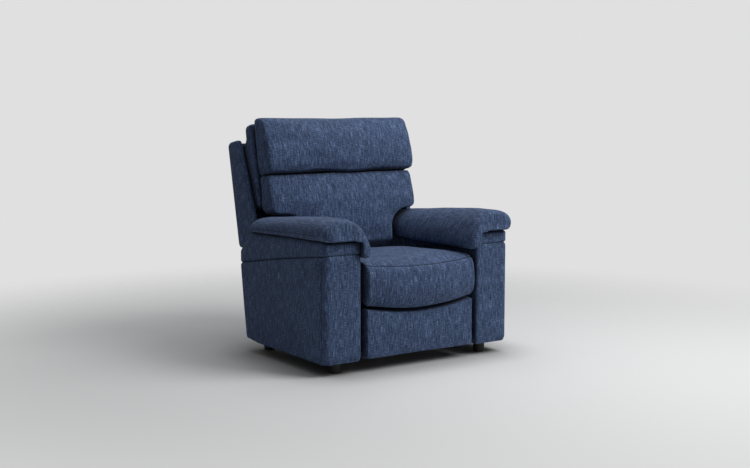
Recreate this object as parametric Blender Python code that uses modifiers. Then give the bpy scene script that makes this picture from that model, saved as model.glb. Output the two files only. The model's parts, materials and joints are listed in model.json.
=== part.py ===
"""Power recliner armchair, modelled as separate solid pieces in metres, +Z up.

The front faces -Y and +X is the sitter's left. Every piece is placed under one root
empty on the arms' front plane, so y below is the depth behind that plane. Pieces that
move hang from an empty on their hinge axis. The back is modelled in its own raked
frame: y is depth through the back, z is height up the back from its pivot.
"""
import bmesh
import bpy
from math import atan2, cos, hypot, pi, radians, sin
from mathutils import Euler, Matrix, Vector

# ---- driving dimensions -------------------------------------------------------------
FRONT_PLANE_Y = -0.43515   # arms' front face, placed so the footprint is centred
GAP = 0.0003               # clearance kept between touching pieces
ARM_OUT, ARM_IN = 0.490, 0.308
BODY_Z0 = 0.052            # underside of the upholstered body
SKIN = 0.018               # thickness of the arms' covered panels
FOOT_R = 0.0265
FOOT_AT = ((0.388, 0.078), (0.385, 0.655))
SEAT_HALF, PANEL_HALF = 0.284, 0.284
PIVOT = (0.600, 0.330)     # back pivot, depth and height
RAKE = radians(12.0)
LIFT_A = (0.17476, 0.28678)          # footrest linkage, folded
LIFT_B = (0.29642, 0.06417)
LIFT_P = (0.29642, 0.09728)
PAN_C = (0.07800, 0.19936)
PAN_Q = (0.07917, 0.23326)
PLATE_X = (0.3027, 0.3077)           # layers of each side's mechanism
LIFT_X = (0.2940, 0.2990)
CONTROL_X = (0.2875, 0.2925)
REACH_X = (0.2810, 0.2860)
BRACKET_X = (0.2745, 0.2795)
PIN_R, PIN_FIT, OPEN_FIT = 0.0050, 0.0004, 0.0014
ROD_X = 0.205                        # the back actuator's plane
ACT_BASE = (0.310, 0.262)
CRANK_R, CRANK_DEG = 0.090, -69.0    # back crank's pin about the back pivot

FABRIC = ("navy_fabric", (0.044, 0.066, 0.125), 0.92, 0.0)
STEEL = ("black_steel", (0.030, 0.031, 0.034), 0.45, 0.9)
BRIGHT = ("zinc_rod", (0.55, 0.56, 0.58), 0.25, 1.0)
WOOD = ("birch_ply", (0.50, 0.34, 0.19), 0.60, 0.0)
PLASTIC = ("black_plastic", (0.015, 0.015, 0.017), 0.50, 0.0)
FOOT_BLACK = ("foot_black", (0.010, 0.010, 0.012), 0.55, 0.0)
SPRING = ("spring_wire", (0.20, 0.20, 0.21), 0.35, 1.0)


# ---- scene and materials ------------------------------------------------------------
def clear():
    for obj in list(bpy.data.objects):
        bpy.data.objects.remove(obj, do_unlink=True)


def new_collection(name):
    made = bpy.data.collections.new(name)
    bpy.context.scene.collection.children.link(made)
    return made


clear()
PARTS = new_collection("power_recliner_armchair")
CUTTERS = new_collection("cutters")


def material(spec):
    name, colour, rough, metal = spec
    found = bpy.data.materials.get(name)
    if found:
        return found
    made = bpy.data.materials.new(name)
    made.use_nodes = True
    shader = made.node_tree.nodes["Principled BSDF"]
    shader.inputs["Base Color"].default_value = (*colour, 1.0)
    shader.inputs["Roughness"].default_value = rough
    shader.inputs["Metallic"].default_value = metal
    return made


def empty(name, location, rotation=(0, 0, 0), parent=None):
    made = bpy.data.objects.new(name, None)
    PARTS.objects.link(made)
    made.matrix_world = Matrix.Translation(location) @ Euler(rotation).to_matrix().to_4x4()
    if parent:
        world = made.matrix_world.copy()
        made.parent = parent
        made.matrix_parent_inverse = parent.matrix_basis.inverted()
        made.matrix_basis = world
    return made


def place(mesh, name, spec, frame, cutter=False):
    """Link a mesh built in a frame's own coordinates, and hang it from that frame."""
    obj = bpy.data.objects.new(name, mesh)
    (CUTTERS if cutter else PARTS).objects.link(obj)
    obj.parent = frame
    if cutter:
        obj.hide_render, obj.display_type = True, "WIRE"
    else:
        mesh.materials.append(material(spec))
    return obj


def bevel(obj, width, segments=2, angle=40.0):
    if width:
        mod = obj.modifiers.new("rounding", "BEVEL")
        mod.width, mod.segments, mod.limit_method = width, segments, "ANGLE"
        mod.angle_limit = radians(angle)
        mod.harden_normals = False
    obj.data.shade_smooth()
    obj.data.set_sharp_from_angle(angle=radians(45))
    return obj


# ---- shape helpers ------------------------------------------------------------------
def box_mesh(name, lo, hi):
    shape = bmesh.new()
    centre = [(a + b) / 2 for a, b in zip(lo, hi)]
    size = [b - a for a, b in zip(lo, hi)]
    bmesh.ops.create_cube(shape, size=1.0,
                          matrix=Matrix.Translation(centre) @ Matrix.Diagonal((*size, 1)))
    mesh = bpy.data.meshes.new(name)
    shape.to_mesh(mesh)
    shape.free()
    return mesh


def box(name, lo, hi, spec, frame, rounding=0.0, segments=2):
    return bevel(place(box_mesh(name, lo, hi), name, spec, frame), rounding, segments)


def cylinder_mesh(name, start, end, radius, radius_end=None, sides=24):
    start, end = Vector(start), Vector(end)
    along = end - start
    turn = along.to_track_quat("Z", "Y").to_matrix().to_4x4()
    shape = bmesh.new()
    bmesh.ops.create_cone(shape, cap_ends=True, segments=sides, radius1=radius,
                          radius2=radius_end or radius, depth=along.length,
                          matrix=Matrix.Translation((start + end) / 2) @ turn)
    mesh = bpy.data.meshes.new(name)
    shape.to_mesh(mesh)
    shape.free()
    return mesh


def plate_mesh(name, outline, lo, hi, along="X"):
    """A filled flat outline with thickness: (depth, height) points along X, or
    (across, depth) points along Z."""
    curve = bpy.data.curves.new(name + "_outline", "CURVE")
    curve.dimensions, curve.fill_mode, curve.extrude = "2D", "BOTH", abs(hi - lo) / 2
    line = curve.splines.new("POLY")
    line.points.add(len(outline) - 1)
    for point, (a, b) in zip(line.points, outline):
        point.co = (a, b, 0.0, 1.0)
    line.use_cyclic_u = True
    carrier = bpy.data.objects.new(name + "_outline", curve)
    CUTTERS.objects.link(carrier)
    bpy.context.view_layer.update()
    ready = carrier.evaluated_get(bpy.context.evaluated_depsgraph_get())
    mesh = bpy.data.meshes.new_from_object(ready)
    mesh.name = name
    if along == "X":
        mesh.transform(Matrix(((0, 0, 1, (lo + hi) / 2), (1, 0, 0, 0), (0, 1, 0, 0),
                               (0, 0, 0, 1))))
    else:
        mesh.transform(Matrix.Translation((0, 0, (lo + hi) / 2)))
    shape = bmesh.new()
    shape.from_mesh(mesh)
    bmesh.ops.remove_doubles(shape, verts=shape.verts, dist=1e-6)
    bmesh.ops.dissolve_limit(shape, angle_limit=radians(0.5), verts=shape.verts,
                             edges=shape.edges)
    bmesh.ops.recalc_face_normals(shape, faces=shape.faces)
    shape.to_mesh(mesh)
    shape.free()
    bpy.data.objects.remove(carrier, do_unlink=True)
    mesh.materials.clear()
    return mesh


def plate(name, outline, lo, hi, spec, frame, rounding=0.0, along="X", segments=2):
    mesh = plate_mesh(name, outline, min(lo, hi), max(lo, hi), along)
    return bevel(place(mesh, name, spec, frame), rounding, segments)


def join_by(obj, mesh, operation):
    """Cut, or add, one closed mesh with an exact Boolean."""
    tool = place(mesh, mesh.name, None, obj.parent, cutter=True)
    mod = obj.modifiers.new(operation.lower(), "BOOLEAN")
    mod.operation, mod.object, mod.solver = operation, tool, "EXACT"


def drill(obj, x_lo, x_hi, at, radius, sides=24):
    join_by(obj, cylinder_mesh(obj.name + "_hole", (x_lo, *at), (x_hi, *at), radius,
                               sides=sides), "DIFFERENCE")


def pin(obj, x_from, x_to, at, radius, sides=24):
    join_by(obj, cylinder_mesh(obj.name + "_pin", (x_from, *at), (x_to, *at), radius,
                               sides=sides), "UNION")


def hull_of_circles(circles, sides=20):
    """Outline, counter-clockwise, of the tightest band round several circles."""
    dots = sorted({(round(y + r * cos(2 * pi * k / sides), 7),
                    round(z + r * sin(2 * pi * k / sides), 7))
                   for y, z, r in circles for k in range(sides)})
    halves = []
    for chain in (dots, dots[::-1]):
        half = []
        for p in chain:
            while len(half) > 1 and ((half[-1][0] - half[-2][0]) * (p[1] - half[-2][1])
                                     - (half[-1][1] - half[-2][1])
                                     * (p[0] - half[-2][0])) <= 1e-12:
                half.pop()
            half.append(p)
        halves += half[:-1]
    return halves


def loft(name, rings, spec, frame, rounding=0.0, segments=2):
    """A closed solid through rings of equal point count, with flat ends."""
    shape = bmesh.new()
    rows = [[shape.verts.new(p) for p in ring] for ring in rings]
    count = len(rows[0])
    for a, b in zip(rows, rows[1:]):
        for k in range(count):
            shape.faces.new((a[k], a[(k + 1) % count], b[(k + 1) % count], b[k]))
    shape.faces.new(rows[0][::-1])
    shape.faces.new(rows[-1])
    bmesh.ops.recalc_face_normals(shape, faces=shape.faces)
    if shape.calc_volume(signed=True) < 0:
        bmesh.ops.reverse_faces(shape, faces=shape.faces)
    mesh = bpy.data.meshes.new(name)
    shape.to_mesh(mesh)
    shape.free()
    obj = place(mesh, name, spec, frame)
    bevel(obj, rounding, segments, angle=50.0)
    return obj


def lerp(table, at):
    """Straight-line reading of a table of (position, value) pairs."""
    if at <= table[0][0]:
        return table[0][1]
    for (a, va), (b, vb) in zip(table, table[1:]):
        if at <= b:
            return va + (vb - va) * (at - a) / (b - a)
    return table[-1][1]


# ---- arms ---------------------------------------------------------------------------
BODY_TOP = ((0.0, 0.504), (0.364, 0.457), (0.741, 0.400))
PAD_CROWN = ((-0.03, 0.648), (0.02, 0.656), (0.12, 0.655), (0.31, 0.641), (0.55, 0.622),
             (0.74, 0.604))
PAD_SEAT = ((-0.03, 0.5610), (0.276, 0.5580), (0.646, 0.5480), (0.74, 0.5460))


def arm_body_outline(y_front):
    top = [(y, z - GAP) for y, z in BODY_TOP if y > y_front]
    return [(y_front, BODY_Z0), (0.610, BODY_Z0), (0.660, 0.0545), (0.683, 0.0600),
            (0.6905, 0.0700), (0.717, 0.230), *top[::-1],
            (y_front, lerp(BODY_TOP, y_front) - GAP)]


def pad_ring(side, y, x_out, shrink, crown):
    """One cross-section of an arm pad: outer lip, crowned top, drop on the seat side."""
    floor, top = lerp(PAD_SEAT, y), crown
    thick = top - floor
    fall = 0.486 + (0.006 if y > 0.5 else 0.0)
    drop = [(0.262, 0.500), (0.270, fall), (0.298, fall), (0.3062, 0.500),
            (0.3062, floor)]
    lip = [(x_out - 0.018, floor), (x_out - 0.004, floor + 0.16 * thick),
           (x_out, floor + 0.42 * thick), (x_out - 0.008, floor + 0.70 * thick),
           (x_out - 0.036, floor + 0.93 * thick)]
    crest = [(0.5 * (x_out - 0.06 + 0.37), top), (0.370, top - 0.002),
             (0.333, floor + 0.74 * thick), (0.303, floor + 0.46 * thick),
             (0.281, floor + 0.03 * thick), (0.268, 0.530)]
    points = drop + lip + crest
    if side < 0:
        points.reverse()
    mid_x, mid_z = 0.5 * (0.262 + x_out), floor + 0.3 * thick
    return [(side * (mid_x + (x - mid_x) * shrink), y, mid_z + (z - mid_z) * shrink)
            for x, z in points]


def arm(side, tag, root):
    def span(a, b):
        return (side * a, side * b) if side > 0 else (side * b, side * a)
    lo, hi = span(ARM_OUT - SKIN, ARM_OUT)
    plate(f"arm_outer_panel_{tag}", arm_body_outline(0.0303), lo, hi, FABRIC, root, 0.004)
    lo, hi = span(ARM_IN, ARM_IN + SKIN)
    plate(f"arm_inner_panel_{tag}", arm_body_outline(0.0303), lo, hi, FABRIC, root, 0.003)
    plan = [(0.308, 0.030), (0.308, 0.005), (0.311, 0.001), (0.316, 0.0), (0.464, 0.0),
            (0.474, 0.002), (0.482, 0.007), (0.488, 0.015), (0.490, 0.024), (0.490, 0.030)]
    plate(f"arm_front_panel_{tag}", [(side * x, y) for x, y in plan], BODY_Z0, 0.4995,
          FABRIC, root, 0.004, along="Z")
    lo, hi = span(ARM_IN + SKIN + GAP, ARM_OUT - SKIN - GAP)
    back = [(0.690, 0.0705), (0.717, 0.230), (0.7407, 0.3998), (0.7230, 0.4022),
            (0.6990, 0.2320), (0.6720, 0.0705)]
    plate(f"arm_rear_panel_{tag}", back, lo, hi, FABRIC, root, 0.002)
    box(f"arm_base_board_{tag}", (lo, 0.0305, BODY_Z0), (hi, 0.6685, 0.067), WOOD, root,
        0.001, 1)
    lo, hi = span(ARM_IN + GAP, 0.487)
    band = [(0.0, 0.558), (0.0, 0.5043)] + [(y, z + GAP) for y, z in BODY_TOP[1:]]
    band += [(0.743, 0.459), (0.646, 0.541), (0.276, 0.555)]
    plate(f"arm_band_{tag}", band, lo, hi, FABRIC, root, 0.006)
    stations = [(-0.030, 0.496, 0.90), (-0.018, 0.503, 0.985), (0.02, 0.506, 1.0),
                (0.12, 0.506, 1.0), (0.31, 0.504, 1.0), (0.50, 0.502, 1.0),
                (0.635, 0.496, 1.0), (0.652, 0.440, 1.0), (0.664, 0.412, 1.0),
                (0.69, 0.409, 1.0), (0.71, 0.407, 0.97), (0.724, 0.402, 0.90)]
    rings = [pad_ring(side, y, x_out, shrink, lerp(PAD_CROWN, y))
             for y, x_out, shrink in stations]
    loft(f"arm_pad_{tag}", rings, FABRIC, root)


def feet(root):
    for side, tag in ((-1, "right"), (1, "left")):
        for (x, y), end in zip(FOOT_AT, ("front", "rear")):
            mesh = cylinder_mesh("foot", (side * x, y, 0), (side * x, y, 0.0517),
                                 FOOT_R - 0.002, FOOT_R, 28)
            bevel(place(mesh, f"foot_{end}_{tag}", FOOT_BLACK, root), 0.0015, 1)


# ---- base and seat ------------------------------------------------------------------
def side_plate(side, tag, root):
    outline = [(0.035, 0.300), (0.140, 0.262), (0.490, 0.255), (0.495, 0.085),
               (0.555, 0.085), (0.565, 0.262), (0.610, 0.298), (0.632, 0.318),
               (0.632, 0.345), (0.615, 0.360), (0.035, 0.362)]
    a, b = (side * v for v in PLATE_X)
    obj = plate(f"mechanism_plate_{tag}", outline, a, b, STEEL, root)
    drill(obj, side * 0.299, side * 0.311, LIFT_A, 0.0065)
    drill(obj, side * 0.299, side * 0.311, PIVOT, 0.0075)


def seat_frame(root):
    box("seat_front_rail", (-0.3022, 0.035, 0.300), (0.3022, 0.057, 0.3655), WOOD, root,
        0.002, 1)
    box("seat_rear_rail", (-0.3022, 0.490, 0.300), (0.3022, 0.512, 0.3655), WOOD, root,
        0.002, 1)
    for side, tag in ((-1, "right"), (1, "left")):
        x = sorted((side * 0.238, side * 0.260))
        box(f"seat_side_rail_{tag}", (x[0], 0.0573, 0.300), (x[1], 0.4897, 0.3655), WOOD,
            root, 0.002, 1)
    bar = box("seat_cross_bar", (-0.2377, 0.298, 0.342), (0.2377, 0.322, 0.3655), STEEL,
              root)
    for x in (0.178, 0.227):
        join_by(bar, box_mesh("lug", (x, 0.2985, 0.248), (x + 0.005, 0.3215, 0.350)),
                "UNION")
    drill(bar, 0.170, 0.240, ACT_BASE, PIN_R + PIN_FIT)
    box("rear_cross_tube", (-0.3022, 0.507, 0.098), (0.3022, 0.533, 0.124), STEEL, root,
        0.002, 1)


def rear_skirt(root):
    """A covered board that closes the rear, low between the arms."""
    box("rear_skirt", (-0.3075, 0.672, 0.085), (0.3075, 0.684, 0.334), FABRIC, root, 0.003)


def seat_springs(root, rungs=11, reach=0.021, wire=0.0020):
    """Sinuous springs: one flat zigzag wire each, from front rail to rear rail."""
    y0, y1 = 0.046, 0.501
    for number, x in enumerate((-0.180, -0.060, 0.060, 0.180), start=1):
        points = [(x, y0)]
        for k in range(rungs):
            y = y0 + 0.02 + (y1 - y0 - 0.04) * k / (rungs - 1)
            swing = reach if k % 2 else -reach
            points += [(x + swing, y - 0.007), (x + swing, y + 0.007)]
        points.append((x, y1))
        curve = bpy.data.curves.new("wire", "CURVE")
        curve.dimensions, curve.bevel_depth, curve.bevel_resolution = "3D", wire, 1
        curve.use_fill_caps = True
        line = curve.splines.new("POLY")
        line.points.add(len(points) - 1)
        for dot, (px, py) in zip(line.points, points):
            dot.co = (px, py, 0.3657 + wire + GAP, 1.0)
        obj = bpy.data.objects.new(f"seat_spring_{number}", curve)
        PARTS.objects.link(obj)
        obj.parent = root
        curve.materials.append(material(SPRING))


def seat_profile(x):
    """Depth and height of the seat cushion's outline at distance x from the middle."""
    s = min(1.0, (abs(x) / SEAT_HALF) ** 2)
    bow, low, rim = 0.030 * (1 - s), 0.254 + 0.026 * s, 0.006 * (1 - s)
    return [(0.546, 0.3722), (0.549, 0.436), (0.530, 0.450), (0.400, 0.458 + rim),
            (0.220, 0.466 + rim), (0.080, 0.470 + rim), (0.025 - 0.5 * bow, 0.466),
            (-0.004 - bow, 0.452 - 1.5 * rim), (-0.019 - bow, 0.420),
            (-0.026 - bow, 0.375), (-0.025 - bow, 0.325), (-0.014 - 0.8 * bow, low + 0.020),
            (0.000 - 0.5 * bow, low), (0.020, low + 0.003), (0.0310, low + 0.016),
            (0.0325, 0.3722)]


def seat_cushion(root):
    xs = (-0.284, -0.276, -0.225, -0.150, -0.075, 0.0, 0.075, 0.150, 0.225, 0.276, 0.284)
    rings = []
    for x in xs:
        end = abs(x) > 0.28
        ring = seat_profile(x)
        if end:
            ring = [(y + (0.006 if y < 0.02 else 0.0), z - (0.006 if z > 0.43 else 0.0))
                    for y, z in ring]
        rings.append([(x, y, z) for y, z in ring])
    loft("seat_cushion", rings, FABRIC, root)


# ---- back ---------------------------------------------------------------------------
def crank_pin():
    """The back crank's pin, in the raked frame, as depth and height."""
    y = CRANK_R * cos(radians(CRANK_DEG))
    z = CRANK_R * sin(radians(CRANK_DEG))
    return y * cos(RAKE) - z * sin(RAKE), y * sin(RAKE) + z * cos(RAKE)


def hinge_bracket(side, tag, back):
    pin_v, pin_u = crank_pin()
    crank = hull_of_circles([(0.0, 0.0, 0.020), (pin_v, pin_u, 0.014)])
    strip = [(0.0005, 0.33), (0.0005, 0.0), (0.016, -0.004), (0.030, 0.02), (0.030, 0.33)]
    a, b = side * 0.2362, side * 0.2422
    obj = plate(f"back_hinge_bracket_{tag}", strip, a, b, STEEL, back)
    join_by(obj, plate_mesh("crank", crank, min(a, b), max(a, b)), "UNION")
    pin(obj, side * 0.2380, side * 0.3045, (0.0, 0.0), 0.0070)
    if side > 0:
        pin(obj, 0.1965, 0.2380, (pin_v, pin_u), PIN_R)


def back(frame):
    box("back_board", (-0.2355, 0.0, 0.020), (0.2355, 0.014, 0.640), WOOD, frame, 0.001, 1)
    core = [(0.0155, 0.337), (0.0155, 0.708), (0.024, 0.722), (0.040, 0.727),
            (0.060, 0.722), (0.074, 0.706), (0.080, 0.680), (0.080, 0.652),
            (0.1645, 0.640), (0.1645, 0.337)]
    plate("back_core", core, -0.413, 0.413, FABRIC, frame, 0.008)
    box("back_rear_panel", (-0.4197, 0.1650, 0.100), (0.4197, 0.1900, 0.662), FABRIC,
        frame, 0.006)
    wing = [(0.1310, 0.1600), (0.1600, 0.1640), (0.1880, 0.1750), (0.1950, 0.1900),
            (0.1950, 0.6520), (0.1880, 0.6640), (0.1750, 0.6680), (0.110, 0.6650),
            (0.0960, 0.6500), (0.0600, 0.4800), (0.0300, 0.3000), (0.0220, 0.2300)]
    for side, tag in ((-1, "right"), (1, "left")):
        plate(f"back_wing_{tag}", wing, side * 0.4200, side * 0.4500, FABRIC, frame, 0.007)
    lumbar(frame)
    headrest(frame)
    for side, tag in ((-1, "right"), (1, "left")):
        hinge_bracket(side, tag, frame)


def pillow_ring(half, front, back_v, u, crown, corner):
    """Across-and-depth outline of a cushion at one height: crowned front, square back."""
    steps = (-1.0, -0.8, -0.4, 0.0, 0.4, 0.8, 1.0)
    face = [(s * (half - corner), front - crown * (1 - s * s), u) for s in steps]
    return (face + [(half - 0.3 * corner, front + 0.3 * corner, u),
                    (half, front + corner, u), (half, back_v, u), (-half, back_v, u),
                    (-half, front + corner, u),
                    (-half + 0.3 * corner, front + 0.3 * corner, u)])


def lumbar(frame):
    """Narrow between the arms, flaring over the pads to full width above them."""
    rows = ((0.094, 0.229, -0.024, 0.000), (0.106, 0.232, -0.044, 0.000),
            (0.122, 0.240, -0.070, 0.000), (0.134, 0.248, -0.088, 0.004),
            (0.206, 0.250, -0.096, 0.014), (0.231, 0.261, -0.096, 0.018),
            (0.256, 0.281, -0.095, 0.020), (0.276, 0.311, -0.094, 0.022),
            (0.291, 0.349, -0.091, 0.026), (0.303, 0.388, -0.086, 0.030),
            (0.317, 0.408, -0.084, 0.032), (0.345, 0.410, -0.084, 0.032),
            (0.400, 0.407, -0.083, 0.028), (0.455, 0.403, -0.080, 0.019),
            (0.476, 0.399, -0.066, 0.014))
    rings = [pillow_ring(h, v, -0.0005, u, c, 0.026) for u, h, v, c in rows]
    loft("lumbar_cushion", rings, FABRIC, frame)


def headrest(frame):
    rows = ((0.4775, 0.392, -0.070, 0.006, 0.022), (0.484, 0.402, -0.094, 0.012, 0.026),
            (0.510, 0.406, -0.106, 0.014, 0.028), (0.580, 0.406, -0.108, 0.014, 0.028),
            (0.660, 0.405, -0.098, 0.012, 0.028), (0.715, 0.402, -0.078, 0.008, 0.026),
            (0.732, 0.396, -0.060, 0.004, 0.020), (0.737, 0.384, -0.046, 0.0, 0.010))
    rings = [pillow_ring(h, v, -0.0005, u, c, r) for u, h, v, c, r in rows]
    loft("headrest_cushion", rings, FABRIC, frame)


# ---- footrest and its linkage -------------------------------------------------------
def panel_top(x):
    """The footrest's upper edge runs just under the seat's curved lower edge."""
    return 0.245 + 0.025 * min(1.0, (abs(x) / SEAT_HALF) ** 2)


def rounded_box(lo, hi, radius):
    """Depth-and-height outline: rounded in front, square behind."""
    arc = [(radius * cos(radians(a)), radius * sin(radians(a))) for a in (180, 210, 240, 270)]
    low = [(lo[0] + radius + a, lo[1] + radius + b) for a, b in arc]
    high = [(lo[0] + radius + a, hi[1] - radius - b) for a, b in arc[::-1]]
    return low + [(hi[0], lo[1]), (hi[0], hi[1])] + high


def footrest(frame, at):
    def here(y, z):
        return (y - at[0], z - at[1])
    lo, hi = here(0.0445, 0.075), here(0.0600, 0.236)
    box("footrest_board", (-0.2810, *lo), (0.2810, *hi), WOOD, frame, 0.001, 1)
    rings = []
    for x in (-PANEL_HALF, -0.276, -0.200, -0.100, 0.0, 0.100, 0.200, 0.276, PANEL_HALF):
        inset = 0.008 if abs(x) > 0.28 else 0.0
        lo, hi = here(-0.006 + inset, 0.057 + inset), here(0.0442, panel_top(x) - inset)
        rings.append([(x, y, z) for y, z in rounded_box(lo, hi, 0.014)])
    loft("footrest_pad", rings, FABRIC, frame)
    for side, tag in ((-1, "right"), (1, "left")):
        web = hull_of_circles([(0.0, 0.0, 0.0155),
                               (*here(*PAN_Q), 0.0115)])
        foot = [here(0.0603, 0.120), here(0.0665, 0.120), here(0.080, 0.180),
                here(0.080, 0.236), here(0.0603, 0.236)]
        a, b = side * BRACKET_X[0], side * BRACKET_X[1]
        obj = plate(f"footrest_bracket_{tag}", foot, a, b, STEEL, frame)
        join_by(obj, plate_mesh("web", web, min(a, b), max(a, b)), "UNION")
        x = sorted((side * 0.2400, side * 0.2765))
        join_by(obj, box_mesh("flange", (x[0], *here(0.0603, 0.1215)),
                              (x[1], *here(0.0640, 0.2345))), "UNION")
        drill(obj, side * 0.270, side * 0.284, (0.0, 0.0), PIN_R + PIN_FIT)
        drill(obj, side * 0.270, side * 0.284, here(*PAN_Q), PIN_R + OPEN_FIT)


def lift_links(frame, at):
    """Lift links hang from the torque tube and carry both upper links' pins."""
    b = (LIFT_B[0] - at[0], LIFT_B[1] - at[1])
    p = (LIFT_P[0] - at[0], LIFT_P[1] - at[1])
    outline = hull_of_circles([(0.0, 0.0, 0.013), (*b, 0.0115), (*p, 0.0115)])
    for side, tag in ((-1, "right"), (1, "left")):
        lo, hi = side * LIFT_X[0], side * LIFT_X[1]
        obj = plate(f"footrest_lift_link_{tag}", outline, lo, hi, STEEL, frame)
        pin(obj, side * 0.2960, side * 0.3065, (0.0, 0.0), 0.0060)
        pin(obj, side * 0.2960, side * 0.2815, b, PIN_R)
        pin(obj, side * 0.2960, side * 0.2878, p, PIN_R)
    tube = cylinder_mesh("tube", (-0.2937, 0, 0), (0.2937, 0, 0), 0.0110, sides=28)
    bevel(place(tube, "footrest_torque_tube", STEEL, frame), 0.0)


def reach_links(frame, at):
    end = (PAN_C[0] - at[0], PAN_C[1] - at[1])
    outline = hull_of_circles([(0.0, 0.0, 0.0100), (*end, 0.0100)])
    for side, tag in ((-1, "right"), (1, "left")):
        obj = plate(f"footrest_reach_link_{tag}", outline, side * REACH_X[0],
                    side * REACH_X[1], STEEL, frame)
        drill(obj, side * 0.277, side * 0.290, (0.0, 0.0), PIN_R + PIN_FIT)
        pin(obj, side * 0.2830, side * 0.2750, end, PIN_R)


def control_links(frame, at):
    end = (PAN_Q[0] - at[0], PAN_Q[1] - at[1])
    slim = hull_of_circles([(0.0, 0.0, 0.0090), (*end, 0.0090)])
    for side, tag in ((-1, "right"), (1, "left")):
        obj = plate(f"footrest_control_link_{tag}", slim, side * CONTROL_X[0],
                    side * CONTROL_X[1], STEEL, frame)
        drill(obj, side * 0.284, side * 0.296, (0.0, 0.0), PIN_R + PIN_FIT)
        pin(obj, side * 0.2895, side * 0.2750, end, PIN_R)


def footrest_drive(root):
    """A geared motor bolted behind the front rail; the torque tube runs through it."""
    y, z = LIFT_A
    block = box("footrest_gearbox", (-0.136, 0.0575, z - 0.030), (-0.066, y + 0.028, 0.340),
                PLASTIC, root)
    drill(block, -0.150, -0.050, LIFT_A, 0.0115, 28)
    can = cylinder_mesh("can", (-0.101, y + 0.0285, 0.302), (-0.101, y + 0.115, 0.302),
                        0.0240, sides=28)
    bevel(place(can, "footrest_motor", STEEL, root), 0.003, 1)


# ---- back actuator (local y runs along the rod) --------------------------------------
def actuator(base_frame, rod_frame, length):
    body = box("back_actuator_housing", (ROD_X - 0.021, -0.014, -0.018),
               (ROD_X + 0.021, 0.046, 0.018), PLASTIC, base_frame)
    tube = cylinder_mesh("tube", (ROD_X, 0.030, 0), (ROD_X, 0.216, 0), 0.0150)
    can = cylinder_mesh("can", (ROD_X, 0.020, -0.0240), (ROD_X, 0.120, -0.0240), 0.0145)
    join_by(body, tube, "UNION")
    join_by(body, can, "UNION")
    join_by(body, cylinder_mesh("pivot", (ROD_X - 0.0262, 0, 0), (ROD_X + 0.0262, 0, 0),
                                PIN_R), "UNION")
    join_by(body, cylinder_mesh("bore", (ROD_X, 0.090, 0), (ROD_X, 0.230, 0), 0.0086),
            "DIFFERENCE")
    eye = hull_of_circles([(0.0, 0.0, 0.0160), (-0.020, 0.0, 0.0080)], 28)
    rod = plate("back_actuator_rod", eye, ROD_X - 0.006, ROD_X + 0.006, BRIGHT, rod_frame)
    join_by(rod, cylinder_mesh("shaft", (ROD_X, 0.160 - length, 0), (ROD_X, -0.018, 0),
                               0.0080), "UNION")
    drill(rod, ROD_X - 0.010, ROD_X + 0.010, (0.0, 0.0), 0.0110, 28)


# ---- control panel and power box ----------------------------------------------------
PANEL_AT = (0.235, 0.400)


def control_panel(root, rocker_frames):
    """A bezel on the left arm's outer face, with two windows and a rocker in each."""
    y, z = PANEL_AT
    bezel = box("control_bezel", (0.4903, y - 0.052, z - 0.029),
                (0.4965, y + 0.052, z + 0.029), PLASTIC, root)
    for k in (-1, 1):
        mid = y + k * 0.024
        join_by(bezel, box_mesh("window", (0.480, mid - 0.0185, z - 0.0205),
                                (0.510, mid + 0.0185, z + 0.0205)), "DIFFERENCE")
    cap = [(-0.0018, -0.0190), (0.0034, -0.0190), (0.0022, -0.0090), (0.0018, 0.0),
           (0.0022, 0.0090), (0.0034, 0.0190), (-0.0018, 0.0190)]
    for name, frame in rocker_frames.items():
        mesh = plate_mesh(name, [(a, b) for a, b in cap], -0.0170, 0.0170)
        mesh.transform(Matrix(((0, 1, 0, 0), (1, 0, 0, 0), (0, 0, 1, 0), (0, 0, 0, 1))))
        mesh.flip_normals()
        bevel(place(mesh, name, PLASTIC, frame), 0.0)


def power_box(root):
    obj = box("power_box", (0.000, 0.5335, 0.092), (0.130, 0.588, 0.132), PLASTIC, root)
    join_by(obj, box_mesh("inlet", (0.052, 0.574, 0.100), (0.078, 0.600, 0.118)),
            "DIFFERENCE")


# ---- assembly -----------------------------------------------------------------------
def build():
    root = empty("recliner_root", (0, FRONT_PLANE_Y, 0))

    def joint_frame(name, at, rotation=(0, 0, 0), x=0.0):
        return empty(name, (x, FRONT_PLANE_Y + at[0], at[1]), rotation, root)

    for side, tag in ((-1, "right"), (1, "left")):
        arm(side, tag, root)
        side_plate(side, tag, root)
    feet(root)
    seat_frame(root)
    rear_skirt(root)
    seat_springs(root)
    seat_cushion(root)
    back(joint_frame("back_pivot", PIVOT, (-RAKE, 0, 0)))
    footrest(joint_frame("panel_pivot", PAN_C), PAN_C)
    lift_links(joint_frame("lift_pivot", LIFT_A), LIFT_A)
    reach_links(joint_frame("reach_pivot", LIFT_B), LIFT_B)
    control_links(joint_frame("control_pivot", LIFT_P), LIFT_P)
    footrest_drive(root)
    tip = (PIVOT[0] + CRANK_R * cos(radians(CRANK_DEG)),
           PIVOT[1] + CRANK_R * sin(radians(CRANK_DEG)))
    run = (tip[0] - ACT_BASE[0], tip[1] - ACT_BASE[1])
    tilt = atan2(run[1], run[0])
    actuator(joint_frame("actuator_pivot", ACT_BASE, (tilt, 0, 0)),
             joint_frame("rod_end", tip, (tilt, 0, 0)), hypot(*run))
    y, z = PANEL_AT
    control_panel(root, {
        "footrest_rocker": joint_frame("rocker_front", (y - 0.024, z), x=0.4945),
        "back_rocker": joint_frame("rocker_rear", (y + 0.024, z), x=0.4945)})
    power_box(root)


build()
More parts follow.
